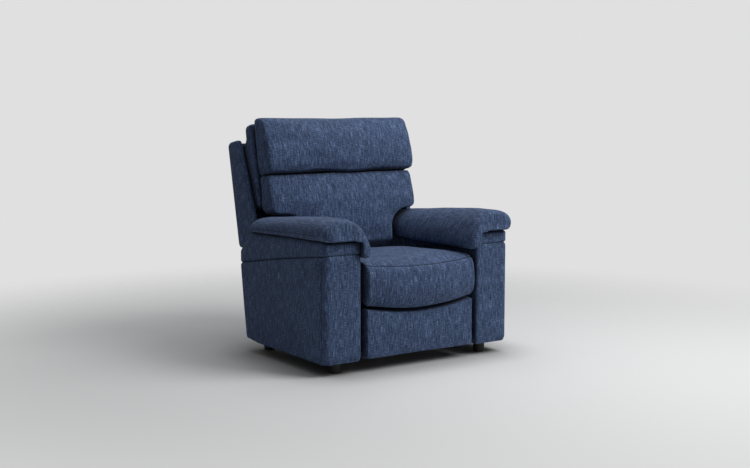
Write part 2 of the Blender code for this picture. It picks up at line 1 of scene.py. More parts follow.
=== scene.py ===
"""Looks of a power recliner armchair: navy linen-look upholstery over a fixed frame.

Soft parts are crowned forms swelled by a short pressure simulation, firm covered parts
are rounded slabs, and the steel, timber and plastic underneath keep their solids with
finishes of their own. All lengths are in metres, +Z is up and the chair faces -Y.
"""
import json
import logging
import math
from dataclasses import dataclass
from enum import Enum
from typing import Callable, Dict, List, Optional, Sequence, Tuple

import bpy
import numpy as np
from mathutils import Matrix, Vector
from mathutils.bvhtree import BVHTree


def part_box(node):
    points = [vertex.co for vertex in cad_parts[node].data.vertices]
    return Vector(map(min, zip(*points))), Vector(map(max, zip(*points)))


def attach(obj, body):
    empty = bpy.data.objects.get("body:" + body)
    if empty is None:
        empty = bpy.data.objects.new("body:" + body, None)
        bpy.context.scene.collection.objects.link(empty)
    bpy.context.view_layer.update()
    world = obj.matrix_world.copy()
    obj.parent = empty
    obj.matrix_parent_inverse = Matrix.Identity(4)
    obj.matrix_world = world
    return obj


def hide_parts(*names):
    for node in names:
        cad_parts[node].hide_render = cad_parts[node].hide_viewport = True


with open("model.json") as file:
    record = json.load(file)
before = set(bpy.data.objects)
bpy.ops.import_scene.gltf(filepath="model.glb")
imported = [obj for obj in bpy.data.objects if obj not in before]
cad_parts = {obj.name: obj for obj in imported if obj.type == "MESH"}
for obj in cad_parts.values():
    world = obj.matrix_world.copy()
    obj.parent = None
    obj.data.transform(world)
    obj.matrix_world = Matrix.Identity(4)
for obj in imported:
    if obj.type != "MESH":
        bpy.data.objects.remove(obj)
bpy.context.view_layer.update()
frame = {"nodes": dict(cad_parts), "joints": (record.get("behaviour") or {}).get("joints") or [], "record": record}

LOG = logging.getLogger("recliner")
logging.basicConfig(level=logging.INFO, format="%(name)s: %(message)s")

Array = np.ndarray
Mapper = Callable[[Array, Array, Array], Tuple[Array, Array, Array]]
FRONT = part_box("arm_front_panel_right")[0].y        # the arms' front plane
PIVOT = next(j["pos_m"] for j in frame["joints"] if j["name"] == "back_recline")
RAKE = math.radians(12.0)                           # lean of the back when upright
FABRIC_SLOT = "navy_fabric"


class Side(Enum):
    """Which arm or wing: the sitter's right or left."""

    RIGHT = -1
    LEFT = 1

    @property
    def tag(self) -> str:
        """Name used in piece names."""
        return self.name.lower()


# ---------------------------------------------------------------- colour and nodes ----
def linear(hex_colour: str, alpha: float = 1.0) -> Tuple[float, float, float, float]:
    """Turn an sRGB hex colour to linear light.

    Each channel c is c/12.92 up to 0.04045, and ((c + 0.055)/1.055)^2.4 above it.

    Args:
        hex_colour: six hex digits after a hash.
        alpha: opacity.
    Returns:
        Linear red, green, blue and alpha.
    """
    parts = [int(hex_colour[i:i + 2], 16) / 255.0 for i in (1, 3, 5)]
    made = [c / 12.92 if c <= 0.04045 else ((c + 0.055) / 1.055) ** 2.4 for c in parts]
    return (made[0], made[1], made[2], alpha)


def add_node(tree: bpy.types.NodeTree, kind: str, settings: Optional[Dict] = None,
             inputs: Optional[Dict] = None, links: Optional[Dict] = None) -> bpy.types.Node:
    """Add a node with its settings, fixed inputs and incoming links.

    Args:
        tree: node tree to add to.
        kind: Blender's node type name.
        settings: attribute name to value.
        inputs: socket name or number to a constant.
        links: socket name or number to the output socket that feeds it.
    Returns:
        The new node.
    """
    made = tree.nodes.new(kind)
    for name, value in (settings or {}).items():
        setattr(made, name, value)
    for key, value in (inputs or {}).items():
        made.inputs[key].default_value = value
    for key, source in (links or {}).items():
        tree.links.new(source, made.inputs[key])
    return made


def start_material(name: str) -> Tuple[bpy.types.Material, bpy.types.NodeTree,
                                       bpy.types.Node]:
    """Make an empty node material and hand back its tree and Principled shader.

    Args:
        name: name of the finish.
    Returns:
        The material, its node tree and its Principled shader.
    """
    made = bpy.data.materials.new(name)
    made.use_nodes = True
    tree = made.node_tree
    return made, tree, tree.nodes["Principled BSDF"]


@dataclass(frozen=True)
class LinenWeave:
    """Polyester linen-look upholstery, woven from slubbed yarn dyed in three navies.

    Slubs run with the warp, so the cloth reads as fine upright streaks with paler
    flecks, matt with a dry halo of fibre at grazing angles.
    """

    name: str = "navy_linen_weave"
    deep: str = "#202b40"
    middle: str = "#2e3d5a"
    pale: str = "#435676"
    fleck: str = "#677a99"
    yarn_mm: float = 1.5         # thread spacing, drawn slightly coarse so it shows
    slub_mm: float = 2.8         # width of a slub, drawn at three times life so it shows
    slub_run_mm: float = 40.0    # length of a slub along the warp
    cloud_mm: float = 46.0       # slow change of shade in the dye
    painted_gap_shade_mm: float = 42.0        # painted shade: the cloth is darker in gaps narrower than this
    relief_mm: float = 0.55

    def build(self) -> bpy.types.Material:
        """Colour is a ramp over warp slubs plus weft slubs plus slow cloud, with painted shade in gaps.

        Returns:
            The finished material, which reads the UV map "weave" in metres.
        """
        made, tree, shader = start_material(self.name)
        uv = add_node(tree, "ShaderNodeUVMap", {"uv_map": "weave"}).outputs["UV"]
        place = add_node(tree, "ShaderNodeTexCoord").outputs["Object"]

        def streaks(width_mm: float, run_mm: float, detail: float) -> bpy.types.NodeSocket:
            """Noise squeezed to width across the yarn and stretched to run along it.

            Args:
                width_mm: width of a streak across the yarn.
                run_mm: length of a streak.
                detail: octaves of finer noise.
            Returns:
                Noise from 0 to 1.
            """
            scaled = add_node(tree, "ShaderNodeMapping", {}, {
                "Scale": (1000.0 / width_mm, 1000.0 / run_mm, 1.0)}, {"Vector": uv})
            return add_node(tree, "ShaderNodeTexNoise", {"noise_dimensions": "2D"}, {
                "Scale": 1.0, "Detail": detail, "Roughness": 0.62},
                {"Vector": scaled.outputs["Vector"]}).outputs["Fac"]

        def mixed(kind: str, a: object, b: object) -> bpy.types.NodeSocket:
            """One Math node over two sockets or numbers.

            Args:
                kind: the operation.
                a: first socket or number.
                b: second socket or number.
            Returns:
                The result socket.
            """
            pair = {0: a, 1: b}
            links = {k: v for k, v in pair.items() if isinstance(v, bpy.types.NodeSocket)}
            fixed = {k: v for k, v in pair.items() if k not in links}
            return add_node(tree, "ShaderNodeMath", {"operation": kind}, fixed,
                            links).outputs[0]

        warp = streaks(self.slub_mm, self.slub_run_mm, 1.6)
        warp_wide = streaks(self.slub_mm * 3.5, self.slub_run_mm * 2.4, 1.0)
        weft = streaks(self.slub_run_mm * 0.62, self.slub_mm * 0.9, 1.6)
        cloud = add_node(tree, "ShaderNodeTexNoise", {}, {
            "Scale": 1000.0 / self.cloud_mm, "Detail": 3.0, "Roughness": 0.55},
            {"Vector": place}).outputs["Fac"]
        tone = mixed("ADD", mixed("MULTIPLY", warp, 0.44), mixed("MULTIPLY", weft, 0.34))
        tone = mixed("ADD", tone, mixed("MULTIPLY", warp_wide, 0.12))
        tone = mixed("ADD", tone, mixed("MULTIPLY", cloud, 0.10))
        ramp = add_node(tree, "ShaderNodeValToRGB", {}, {}, {"Fac": tone})
        stops = ramp.color_ramp.elements
        stops[0].position, stops[0].color = 0.38, linear(self.deep)
        stops[1].position, stops[1].color = 0.70, linear(self.fleck)
        stops.new(0.49).color = linear(self.middle)
        stops.new(0.57).color = linear(self.pale)
        yarn = add_node(tree, "ShaderNodeMapping", {}, {
            "Scale": (1000.0 / self.yarn_mm, 1000.0 / self.yarn_mm, 1.0)}, {"Vector": uv})
        cell = add_node(tree, "ShaderNodeTexVoronoi", {
            "voronoi_dimensions": "2D", "feature": "F1"}, {
            "Scale": 1.0, "Randomness": 0.35}, {"Vector": yarn.outputs["Vector"]})
        height = mixed("SUBTRACT", mixed("MULTIPLY", warp, 0.7),
                       mixed("MULTIPLY", cell.outputs["Distance"], 0.45))
        height = mixed("ADD", height, mixed("MULTIPLY", weft, 0.35))
        bump = add_node(tree, "ShaderNodeBump", {}, {
            "Strength": 0.75, "Distance": self.relief_mm / 1000.0}, {"Height": height})
        # painted shade: ambient occlusion darkens the cloth colour in narrow gaps between parts
        painted_gap_shade = add_node(tree, "ShaderNodeAmbientOcclusion", {"samples": 8}, {
            "Distance": self.painted_gap_shade_mm / 1000.0})
        depth = add_node(tree, "ShaderNodeMapRange", {}, {
            "From Min": 0.12, "From Max": 0.86, "To Min": 0.08, "To Max": 1.0},
            {"Value": painted_gap_shade.outputs["AO"]})
        shaded = add_node(tree, "ShaderNodeVectorMath", {"operation": "SCALE"}, {}, {
            0: ramp.outputs["Color"], "Scale": depth.outputs["Result"]})
        tree.links.new(shaded.outputs["Vector"], shader.inputs["Base Color"])
        tree.links.new(bump.outputs["Normal"], shader.inputs["Normal"])
        rough = add_node(tree, "ShaderNodeMapRange", {}, {
            "From Min": 0.3, "From Max": 0.7, "To Min": 0.95, "To Max": 0.80},
            {"Value": warp})
        tree.links.new(rough.outputs["Result"], shader.inputs["Roughness"])
        shader.inputs["Specular IOR Level"].default_value = 0.28
        shader.inputs["Sheen Weight"].default_value = 0.22
        shader.inputs["Sheen Roughness"].default_value = 0.45
        shader.inputs["Sheen Tint"].default_value = linear("#97a6c4")
        return made


@dataclass(frozen=True)
class GrainedFinish:
    """A plain finish whose surface grain comes from its making: sprayed or moulded."""

    name: str
    colour: str
    worn: str
    rough: float
    metal: float = 0.0
    grain_mm: float = 0.8
    relief_mm: float = 0.05
    coat: float = 0.0

    def build(self) -> bpy.types.Material:
        """Colour varies a little with slow noise, and fine noise raises the grain.

        Returns:
            The finished material.
        """
        made, tree, shader = start_material(self.name)
        place = add_node(tree, "ShaderNodeTexCoord").outputs["Object"]
        slow = add_node(tree, "ShaderNodeTexNoise", {}, {
            "Scale": 22.0, "Detail": 4.0, "Roughness": 0.6}, {"Vector": place})
        fine = add_node(tree, "ShaderNodeTexNoise", {}, {
            "Scale": 1000.0 / self.grain_mm, "Detail": 2.0}, {"Vector": place})
        ramp = add_node(tree, "ShaderNodeValToRGB", {}, {}, {"Fac": slow.outputs["Fac"]})
        ramp.color_ramp.elements[0].position = 0.35
        ramp.color_ramp.elements[0].color = linear(self.colour)
        ramp.color_ramp.elements[1].position = 0.80
        ramp.color_ramp.elements[1].color = linear(self.worn)
        rough = add_node(tree, "ShaderNodeMapRange", {}, {
            "To Min": self.rough - 0.06, "To Max": self.rough + 0.08},
            {"Value": slow.outputs["Fac"]})
        bump = add_node(tree, "ShaderNodeBump", {}, {
            "Strength": 0.5, "Distance": self.relief_mm / 1000.0},
            {"Height": fine.outputs["Fac"]})
        tree.links.new(ramp.outputs["Color"], shader.inputs["Base Color"])
        tree.links.new(rough.outputs["Result"], shader.inputs["Roughness"])
        tree.links.new(bump.outputs["Normal"], shader.inputs["Normal"])
        shader.inputs["Metallic"].default_value = self.metal
        shader.inputs["Coat Weight"].default_value = self.coat
        return made


@dataclass(frozen=True)
class BirchPly:
    """Sanded birch plywood: pale, with darker grain along the board."""

    name: str = "birch_plywood"
    pale: str = "#d9bd92"
    dark: str = "#a67c4e"

    def build(self) -> bpy.types.Material:
        """Grain is noise stretched along X.

        Returns:
            The finished material.
        """
        made, tree, shader = start_material(self.name)
        place = add_node(tree, "ShaderNodeTexCoord").outputs["Object"]
        along = add_node(tree, "ShaderNodeMapping", {}, {"Scale": (6.0, 90.0, 90.0)},
                         {"Vector": place})
        grain = add_node(tree, "ShaderNodeTexNoise", {}, {
            "Scale": 1.0, "Detail": 6.0, "Roughness": 0.7, "Distortion": 0.6},
            {"Vector": along.outputs["Vector"]})
        ramp = add_node(tree, "ShaderNodeValToRGB", {}, {}, {"Fac": grain.outputs["Fac"]})
        ramp.color_ramp.elements[0].position = 0.30
        ramp.color_ramp.elements[0].color = linear(self.dark)
        ramp.color_ramp.elements[1].position = 0.62
        ramp.color_ramp.elements[1].color = linear(self.pale)
        bump = add_node(tree, "ShaderNodeBump", {}, {
            "Strength": 0.4, "Distance": 0.0002}, {"Height": grain.outputs["Fac"]})
        tree.links.new(ramp.outputs["Color"], shader.inputs["Base Color"])
        tree.links.new(bump.outputs["Normal"], shader.inputs["Normal"])
        shader.inputs["Roughness"].default_value = 0.62
        return made


# ------------------------------------------------------------------- mesh building ----
def smoothstep(a: float, b: float, x: Array) -> Array:
    """Three t squared minus two t cubed, with t running 0 to 1 from a to b."""
    t = np.clip((x - a) / (b - a), 0.0, 1.0)
    return t * t * (3.0 - 2.0 * t)


def raked(x: Array, v: Array, u: Array) -> Tuple[Array, Array, Array]:
    """Back-frame depth v and height u to the row frame.

    y is the pivot's y plus v cos(rake) plus u sin(rake); z is the pivot's z minus
    v sin(rake) plus u cos(rake).

    Args:
        x: across.
        v: depth through the back, forwards negative.
        u: height up the back from the pivot.
    Returns:
        Row-frame x, y and z.
    """
    return (x, PIVOT[1] + v * math.cos(RAKE) + u * math.sin(RAKE),
            PIVOT[2] - v * math.sin(RAKE) + u * math.cos(RAKE))


def round_outline(corners: Sequence[Tuple[float, float, float]], count: int) -> Array:
    """A closed outline, anticlockwise, with each corner rounded by a quadratic curve.

    The curve leaves one edge its radius before the corner and joins the next its
    radius after it; the result is re-read at equal distances along its length.

    Args:
        corners: across, up and rounding radius of each corner.
        count: number of points wanted.
    Returns:
        An array of count rows and two columns.
    """
    pts = np.array([c[:2] for c in corners], float)
    before, after = np.roll(pts, 1, axis=0) - pts, np.roll(pts, -1, axis=0) - pts
    t = np.linspace(0.0, 1.0, 9)[:, None]
    path: List[Array] = []
    for k, (_, _, radius) in enumerate(corners):
        la, lb = np.linalg.norm(before[k]), np.linalg.norm(after[k])
        a = pts[k] + before[k] / la * min(radius, 0.48 * la)
        b = pts[k] + after[k] / lb * min(radius, 0.48 * lb)
        path.append((1 - t) ** 2 * a + 2 * t * (1 - t) * pts[k] + t ** 2 * b)
    line = np.vstack(path + [path[0][:1]])
    gap = np.r_[0.0, np.cumsum(np.linalg.norm(np.diff(line, axis=0), axis=1))]
    at = np.linspace(0.0, gap[-1], count, endpoint=False)
    made = np.c_[np.interp(at, gap, line[:, 0]), np.interp(at, gap, line[:, 1])]
    area = np.sum(made[:, 0] * np.roll(made[:, 1], -1)
                  - np.roll(made[:, 0], -1) * made[:, 1])
    return made if area > 0 else made[::-1].copy()


@dataclass
class Slab:
    """A closed rounded body: an outline swept through a height, crowned at both ends."""

    outline: Array
    low: float
    high: float
    round_low: float = 0.01
    round_high: float = 0.01
    crown_low: float = 0.0
    crown_high: float = 0.0
    centre: Tuple[float, float] | None = None
    cap_rings: int = 18
    wall_rings: int = 12

    def rows(self) -> Tuple[Array, Array, Array]:
        """Inset, scale and height of every ring, from the low pole to the high one.

        A cap ring is the inset outline scaled by r about the centre, raised by
        crown times (1 - r squared); an edge ring follows a quarter circle; a wall
        ring keeps the outline.

        Returns:
            Three arrays of one length.
        """
        ring = np.linspace(0.0, 1.0, self.cap_rings + 1)[:-1] ** 0.85
        turn = np.linspace(0.0, math.pi / 2, 8)
        wall = np.linspace(0.0, 1.0, self.wall_rings + 2)[1:-1]
        lo_wall, hi_wall = self.low + self.round_low, self.high - self.round_high
        inset = np.r_[np.full(ring.size, self.round_low),
                      self.round_low * (1 - np.sin(turn)), np.zeros(wall.size),
                      self.round_high * (1 - np.sin(turn[::-1])),
                      np.full(ring.size, self.round_high)]
        scale = np.r_[ring, np.ones(2 * turn.size + wall.size), ring[::-1]]
        height = np.r_[self.low - self.crown_low * (1 - ring ** 2),
                       self.low + self.round_low * (1 - np.cos(turn)),
                       lo_wall + (hi_wall - lo_wall) * wall,
                       self.high - self.round_high * (1 - np.cos(turn[::-1])),
                       self.high + self.crown_high * (1 - ring[::-1] ** 2)]
        return inset, scale, height

    def grid(self) -> Tuple[Array, Array, Array]:
        """Across, up and height of every point, as ring-by-outline arrays.

        Returns:
            Three arrays of rings by outline points.
        """
        ahead, behind = np.roll(self.outline, -1, axis=0), np.roll(self.outline, 1, axis=0)
        along = ahead - behind
        out = np.c_[along[:, 1], -along[:, 0]]
        out /= np.linalg.norm(out, axis=1, keepdims=True)
        middle = np.array(self.centre) if self.centre else self.outline.mean(0)
        inset, scale, height = self.rows()
        moved = self.outline[None] - out[None] * inset[:, None, None]
        moved = middle + (moved - middle) * scale[:, None, None]
        return moved[..., 0], moved[..., 1], np.broadcast_to(height[:, None],
                                                             moved.shape[:2]).copy()

    def build(self, name: str, mapper: Mapper) -> bpy.types.Object:
        """Make the mesh, with each pole closed by a fan.

        Args:
            name: name of the piece.
            mapper: turns across, up and height into row-frame x, y and z.
        Returns:
            The new object, with its faces pointing outwards.
        """
        points = np.stack(mapper(*self.grid()), axis=-1)
        return skin(name, points[1:-1], points[0].mean(0), points[-1].mean(0))


def skin(name: str, rings: Array, low: Array, high: Array) -> bpy.types.Object:
    """Join rings of points with four-sided faces and close each end with a fan.

    Args:
        name: name of the piece.
        rings: rings by points by x, y, z.
        low: point that the first ring closes to.
        high: point that the last ring closes to.
    Returns:
        The closed object.
    """
    rows, count = rings.shape[:2]
    verts = np.vstack([rings.reshape(-1, 3), low[None], high[None]])
    i = np.arange(rows - 1)[:, None] * count
    j, k = np.arange(count)[None, :], (np.arange(count)[None, :] + 1) % count
    quads = np.stack([i + j, i + k, i + count + k, i + count + j], axis=-1)
    last, poles = (rows - 1) * count, rows * count
    ends = [np.stack([k[0], j[0], np.full(count, poles)], axis=-1),
            np.stack([last + j[0], last + k[0], np.full(count, poles + 1)], axis=-1)]
    return new_object(name, verts, quads.reshape(-1, 4).tolist() + ends[0].tolist()
                      + ends[1].tolist())


def loft(name: str, rings: List[Array]) -> bpy.types.Object:
    """A body through a list of rings, each end closed flat about its own middle."""
    stack = np.stack(rings)
    return skin(name, stack, stack[0].mean(0), stack[-1].mean(0))


def read(table: Sequence[Sequence[float]], column: int, at: float) -> float:
    """Straight-line reading of one column of a table against its first column."""
    rows = np.array(table)
    return float(np.interp(at, rows[:, 0], rows[:, column]))


def new_object(name: str, verts: Array, faces: List) -> bpy.types.Object:
    """Put points and faces into a mesh, smooth-shaded, with its faces turned outwards.

    Args:
        name: name of the piece.
        verts: rows of x, y, z.
        faces: lists of vertex numbers.
    Returns:
        The object, linked to the scene.
    """
    mesh = bpy.data.meshes.new(name)
    mesh.from_pydata(verts.tolist(), [], faces)
    mesh.update()
    if signed_volume(mesh) < 0:
        mesh.flip_normals()
    mesh.shade_smooth()
    made = bpy.data.objects.new(name, mesh)
    bpy.context.scene.collection.objects.link(made)
    return made


def read_points(mesh: bpy.types.Mesh) -> Array:
    """Every vertex of a mesh.

    Args:
        mesh: the mesh.
    Returns:
        Rows of x, y, z.
    """
    co = np.empty(len(mesh.vertices) * 3, np.float32)
    mesh.vertices.foreach_get("co", co)
    return co.reshape(-1, 3).astype(float)


def write_points(mesh: bpy.types.Mesh, points: Array) -> None:
    """Put rows of x, y, z back into a mesh."""
    mesh.vertices.foreach_set("co", points.astype(np.float32).ravel())
    mesh.update()


def read_normals(mesh: bpy.types.Mesh) -> Array:
    """Every vertex normal of a mesh.

    Args:
        mesh: the mesh.
    Returns:
        Rows of x, y, z of length one.
    """
    normals = np.empty(len(mesh.vertices) * 3, np.float32)
    mesh.vertices.foreach_get("normal", normals)
    return normals.reshape(-1, 3).astype(float)


def signed_volume(mesh: bpy.types.Mesh) -> float:
    """Sum over triangles of a dot (b cross c), divided by six.

    Args:
        mesh: a closed mesh.
    Returns:
        Volume in cubic metres, negative where its faces point inwards.
    """
    mesh.calc_loop_triangles()
    tri = np.empty(len(mesh.loop_triangles) * 3, np.int32)
    mesh.loop_triangles.foreach_get("vertices", tri)
    p = read_points(mesh)[tri].reshape(-1, 3, 3)
    return float(np.einsum("ij,ij->i", p[:, 0], np.cross(p[:, 1], p[:, 2])).sum() / 6.0)


def weave_map(obj: bpy.types.Object) -> None:
    """Lay the cloth on a piece: each face takes the two axes it faces least, in metres.

    Faces looking along X read (y, z), along Y read (x, z) and along Z read (x, y), so
    the warp runs up every upright face and front to back on every top.

    Args:
        obj: the piece, which gains the UV map "weave".
    """
    mesh = obj.data
    normal = np.empty(len(mesh.polygons) * 3, np.float32)
    mesh.polygons.foreach_get("normal", normal)
    axis = np.abs(normal.reshape(-1, 3) * (1.0, 1.0, 1.08)).argmax(1)
    total = np.empty(len(mesh.polygons), np.int32)
    mesh.polygons.foreach_get("loop_total", total)
    corner = np.empty(len(mesh.loops), np.int32)
    mesh.loops.foreach_get("vertex_index", corner)
    p = read_points(mesh)[corner]
    side = np.repeat(axis, total)
    u = np.where(side == 0, p[:, 1], p[:, 0])
    v = np.where(side == 2, p[:, 1], p[:, 2])
    layer = mesh.uv_layers.get("weave") or mesh.uv_layers.new(name="weave")
    layer.data.foreach_set("uv", np.c_[u, v].astype(np.float32).ravel())


def swell(obj: bpy.types.Object, keep: Callable[[Array], Array], cap: float = 0.014,
          inset: float = 0.009, voxel: float = 0.008, pressure: float = 4.0) -> None:
    """Swell a padded piece with a pressure simulation, and keep the result in its mesh.

    The mesh is rebuilt in even cells and drawn in by the inset, the cloth is blown up
    for twenty frames with no gravity, and the moves are scaled so that nine in ten are
    under the cap and then cut to it: move times min(1, cap / length). Moves that pull
    an edge inwards are more than halved, as a sewn edge holds.

    Args:
        obj: the piece.
        keep: gives each point, as rows of x, y, z, its share of inset and move.
        cap: furthest a point may move.
        inset: how much smaller the piece starts.
        voxel: cell size of the rebuilt mesh.
        pressure: simulation pressure.
    """
    remesh = obj.modifiers.new("even_cells", "REMESH")
    remesh.mode, remesh.voxel_size, remesh.use_smooth_shade = "VOXEL", voxel, True
    freeze(obj)
    whole = read_points(obj.data)
    share = np.clip(keep(whole), 0.0, 1.0)[:, None]
    rest = whole - read_normals(obj.data) * inset * share
    write_points(obj.data, rest)
    cloth = obj.modifiers.new("pressure", "CLOTH")
    cloth.settings.use_pressure = True
    cloth.settings.uniform_pressure_force = pressure
    cloth.settings.effector_weights.gravity = 0.0
    cloth.settings.quality = 5
    cloth.settings.mass = 0.3
    cloth.settings.tension_stiffness = 25.0
    cloth.settings.compression_stiffness = 12.0
    cloth.settings.bending_stiffness = 0.6
    cloth.collision_settings.use_collision = False
    cloth.point_cache.frame_start, cloth.point_cache.frame_end = 1, 20
    for number in range(1, 21):
        bpy.context.scene.frame_set(number)
    ready = obj.evaluated_get(bpy.context.evaluated_depsgraph_get())
    blown = read_points(ready.data)
    obj.modifiers.remove(cloth)
    move = blown - rest
    length = np.linalg.norm(move, axis=1, keepdims=True)
    move *= cap / max(float(np.percentile(length, 90)), cap)
    length = np.linalg.norm(move, axis=1, keepdims=True)
    inward = (move * read_normals(obj.data)).sum(1, keepdims=True) < 0
    move *= np.minimum(1.0, cap / np.maximum(length, 1e-9)) * share
    move *= np.where(inward, 0.45, 1.0)
    write_points(obj.data, rest + move)
    bpy.context.scene.frame_set(1)
    finer = obj.modifiers.new("finer", "SUBSURF")
    finer.levels = finer.render_levels = 1
    freeze(obj)
    obj.data.shade_smooth()


def freeze(obj: bpy.types.Object) -> None:
    """Put a piece's modifiers into its mesh.

    Args:
        obj: the piece.
    """
    bpy.context.view_layer.update()
    ready = obj.evaluated_get(bpy.context.evaluated_depsgraph_get())
    fixed = bpy.data.meshes.new_from_object(ready)
    obj.modifiers.clear()
    obj.data = fixed


def ripple(obj: bpy.types.Object, height: float, lengths: Tuple[float, float, float],
           shift: float) -> None:
    """Loosen a cover: points move along their normals by a sum of three slow sines.

    The move is height/3 times the sum of sin(2 pi (x/a + z/b) + k) style waves whose
    lengths differ, so no wave repeats within the piece.

    Args:
        obj: the piece.
        height: greatest move.
        lengths: wave lengths across, up and in depth.
        shift: phase, so that neighbours differ.
    """
    p, n = read_points(obj.data), read_normals(obj.data)
    a, b, c = lengths
    wave = (np.sin(2 * math.pi * (p[:, 0] / a + p[:, 2] / b) + shift)
            + np.sin(2 * math.pi * (p[:, 1] / c - p[:, 0] / (1.7 * a)) + 2.1 * shift)
            + np.sin(2 * math.pi * (p[:, 2] / (0.6 * b) + p[:, 1] / (1.3 * c)) + 0.7))
    write_points(obj.data, p + n * (wave * height / 3.0)[:, None])


def distance_to_path(points: Array, path: Array) -> Array:
    """Shortest distance from each point to a chain of straight pieces.

    Args:
        points: rows of x, y, z.
        path: rows of x, y, z along the chain.
    Returns:
        One distance for each point.
    """
    best = np.full(len(points), 1e9)
    for a, b in zip(path[:-1], path[1:]):
        along = b - a
        t = np.clip(((points - a) @ along) / max(float(along @ along), 1e-12), 0.0, 1.0)
        best = np.minimum(best, np.linalg.norm(points - a - t[:, None] * along, axis=1))
    return best


def sink(obj: bpy.types.Object, path: Array, width: float, depth: float) -> None:
    """Pull a cover in along a path by depth times exp(-(distance / width) squared).

    Args:
        obj: the piece.
        path: rows of x, y, z.
        width: reach of the furrow.
        depth: depth at its middle.
    """
    p, n = read_points(obj.data), read_normals(obj.data)
    near = distance_to_path(p, path)
    write_points(obj.data, p - n * (depth * np.exp(-(near / width) ** 2))[:, None])


def project(obj: bpy.types.Object, start: Array, direction: Tuple[float, float, float],
            ) -> Array:
    """Drop points along a direction on to a piece's surface; misses are left out.

    Args:
        obj: the piece.
        start: points to drop.
        direction: unit vector to drop them along.
    Returns:
        The points where they land.
    """
    mesh = obj.data
    tree = BVHTree.FromPolygons([tuple(v) for v in read_points(mesh)],
                                [tuple(f.vertices) for f in mesh.polygons])
    hits = [tree.ray_cast(Vector(p), Vector(direction), 0.5)[0] for p in start]
    return np.array([h for h in hits if h is not None], float)


def tube(name: str, path: Array, radius: float, sides: int = 6,
         closed: bool = False) -> bpy.types.Object:
    """A round strand carried along a path.

    Each ring is centre plus radius times (cos a side + sin a up), with side and up
    at right angles to the path there; open ends are closed by a fan.

    Args:
        name: name of the piece.
        path: rows of x, y, z.
        radius: radius of the strand.
        sides: points in a ring.
        closed: whether the last ring joins the first.
    Returns:
        The new object.
    """
    ahead = np.roll(path, -1, axis=0) - np.roll(path, 1, axis=0)
    if not closed:
        ahead[0], ahead[-1] = path[1] - path[0], path[-1] - path[-2]
    ahead /= np.linalg.norm(ahead, axis=1, keepdims=True)
    guide = np.where(np.abs(ahead[:, 2:3]) < 0.9, [[0.0, 0.0, 1.0]], [[0.0, 1.0, 0.0]])
    across = np.cross(ahead, guide)
    across /= np.linalg.norm(across, axis=1, keepdims=True)
    up = np.cross(across, ahead)
    angle = np.linspace(0, 2 * math.pi, sides, endpoint=False)
    ring = (np.cos(angle)[None, :, None] * across[:, None]
            + np.sin(angle)[None, :, None] * up[:, None])
    verts = (path[:, None] + radius * ring).reshape(-1, 3)
    rows = len(path)
    i = (np.arange(rows if closed else rows - 1) * sides)[:, None]
    j, k = np.arange(sides)[None, :], (np.arange(sides)[None, :] + 1) % sides
    after = (i + sides) % (rows * sides)
    faces = np.stack([i + j, i + k, after + k, after + j], axis=-1).reshape(-1, 4).tolist()
    if not closed:
        faces += [list(range(sides))[::-1], list(range((rows - 1) * sides, rows * sides))]
    return new_object(name, verts, faces)


# ------------------------------------------------------------------------- workshop ----
class Workshop:
    """Holds the finishes, and dresses and hangs each finished piece."""

    def __init__(self) -> None:
        """Build every finish once."""
        self.linen = LinenWeave().build()
        self.thread = GrainedFinish("bonded_nylon_thread", "#121826", "#1b2436", 0.75,
                                    grain_mm=0.5, relief_mm=0.15).build()
        self.steel = GrainedFinish("black_powder_coat", "#17181a", "#242628", 0.46,
                                   0.0, 0.7, 0.06, 0.15).build()
        self.zinc = GrainedFinish("bright_zinc_plate", "#b9bcc2", "#8f9299", 0.26, 1.0,
                                  0.5, 0.01).build()
        self.wire = GrainedFinish("oiled_spring_wire", "#55575b", "#3a3a3c", 0.38, 1.0,
                                  0.6, 0.02).build()
        self.abs = GrainedFinish("textured_abs", "#101113", "#1c1d20", 0.52, 0.0, 0.45,
                                 0.08).build()
        self.foot = GrainedFinish("moulded_nylon_foot", "#0d0d0f", "#1a1a1c", 0.50, 0.0,
                                  0.6, 0.05).build()
        self.lining = GrainedFinish("black_spunbond_lining", "#101114", "#1d1f24", 0.92,
                                    grain_mm=1.2, relief_mm=0.2).build()
        self.ply = BirchPly().build()

    def finish(self, obj: bpy.types.Object, material: bpy.types.Material, body: str,
               replaces: Sequence[str] = (), slot: str = "", fill: float = -1.0) -> None:
        """Dress a piece, hang it on its body and hide the solids it stands for.

        Args:
            obj: the piece.
            material: its finish.
            body: body of the motion model that carries it.
            replaces: solids that it stands for.
            slot: material slot in the record; not used.
            fill: how full its stuffing is, 0 slack to 1 tight, or -1 where it has none; not used.
        """
        obj.data.materials.clear()
        obj.data.materials.append(material)
        if material == self.linen:
            weave_map(obj)
        if replaces:
            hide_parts(*replaces)
        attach(obj, body)
        LOG.info("%s: %d points", obj.name, len(obj.data.vertices))

    def seam(self, name: str, target: bpy.types.Object, start: Array,
             direction: Tuple[float, float, float], body: str, depth: float = 0.0028,
             width: float = 0.0045, strand: float = 0.0011) -> None:
        """Sew a line: sink the cover along it and lay a thread in the furrow.

        Args:
            name: name of the thread.
            target: the cover, sunk along the line.
            start: points outside the cover.
            direction: way to the cover.
            body: body that carries the thread.
            depth: depth of the furrow.
            width: reach of the furrow.
            strand: radius of the thread.
        """
        path = project(target, start, direction)
        if len(path) < 3:
            LOG.info("%s: nothing to sew", name)
            return
        sink(target, path, width, depth)
        laid = project(target, start, direction)
        back = np.array(direction) * -0.0003
        line = tube(name, laid + back, strand)
        self.finish(line, self.thread, body, slot=FABRIC_SLOT)


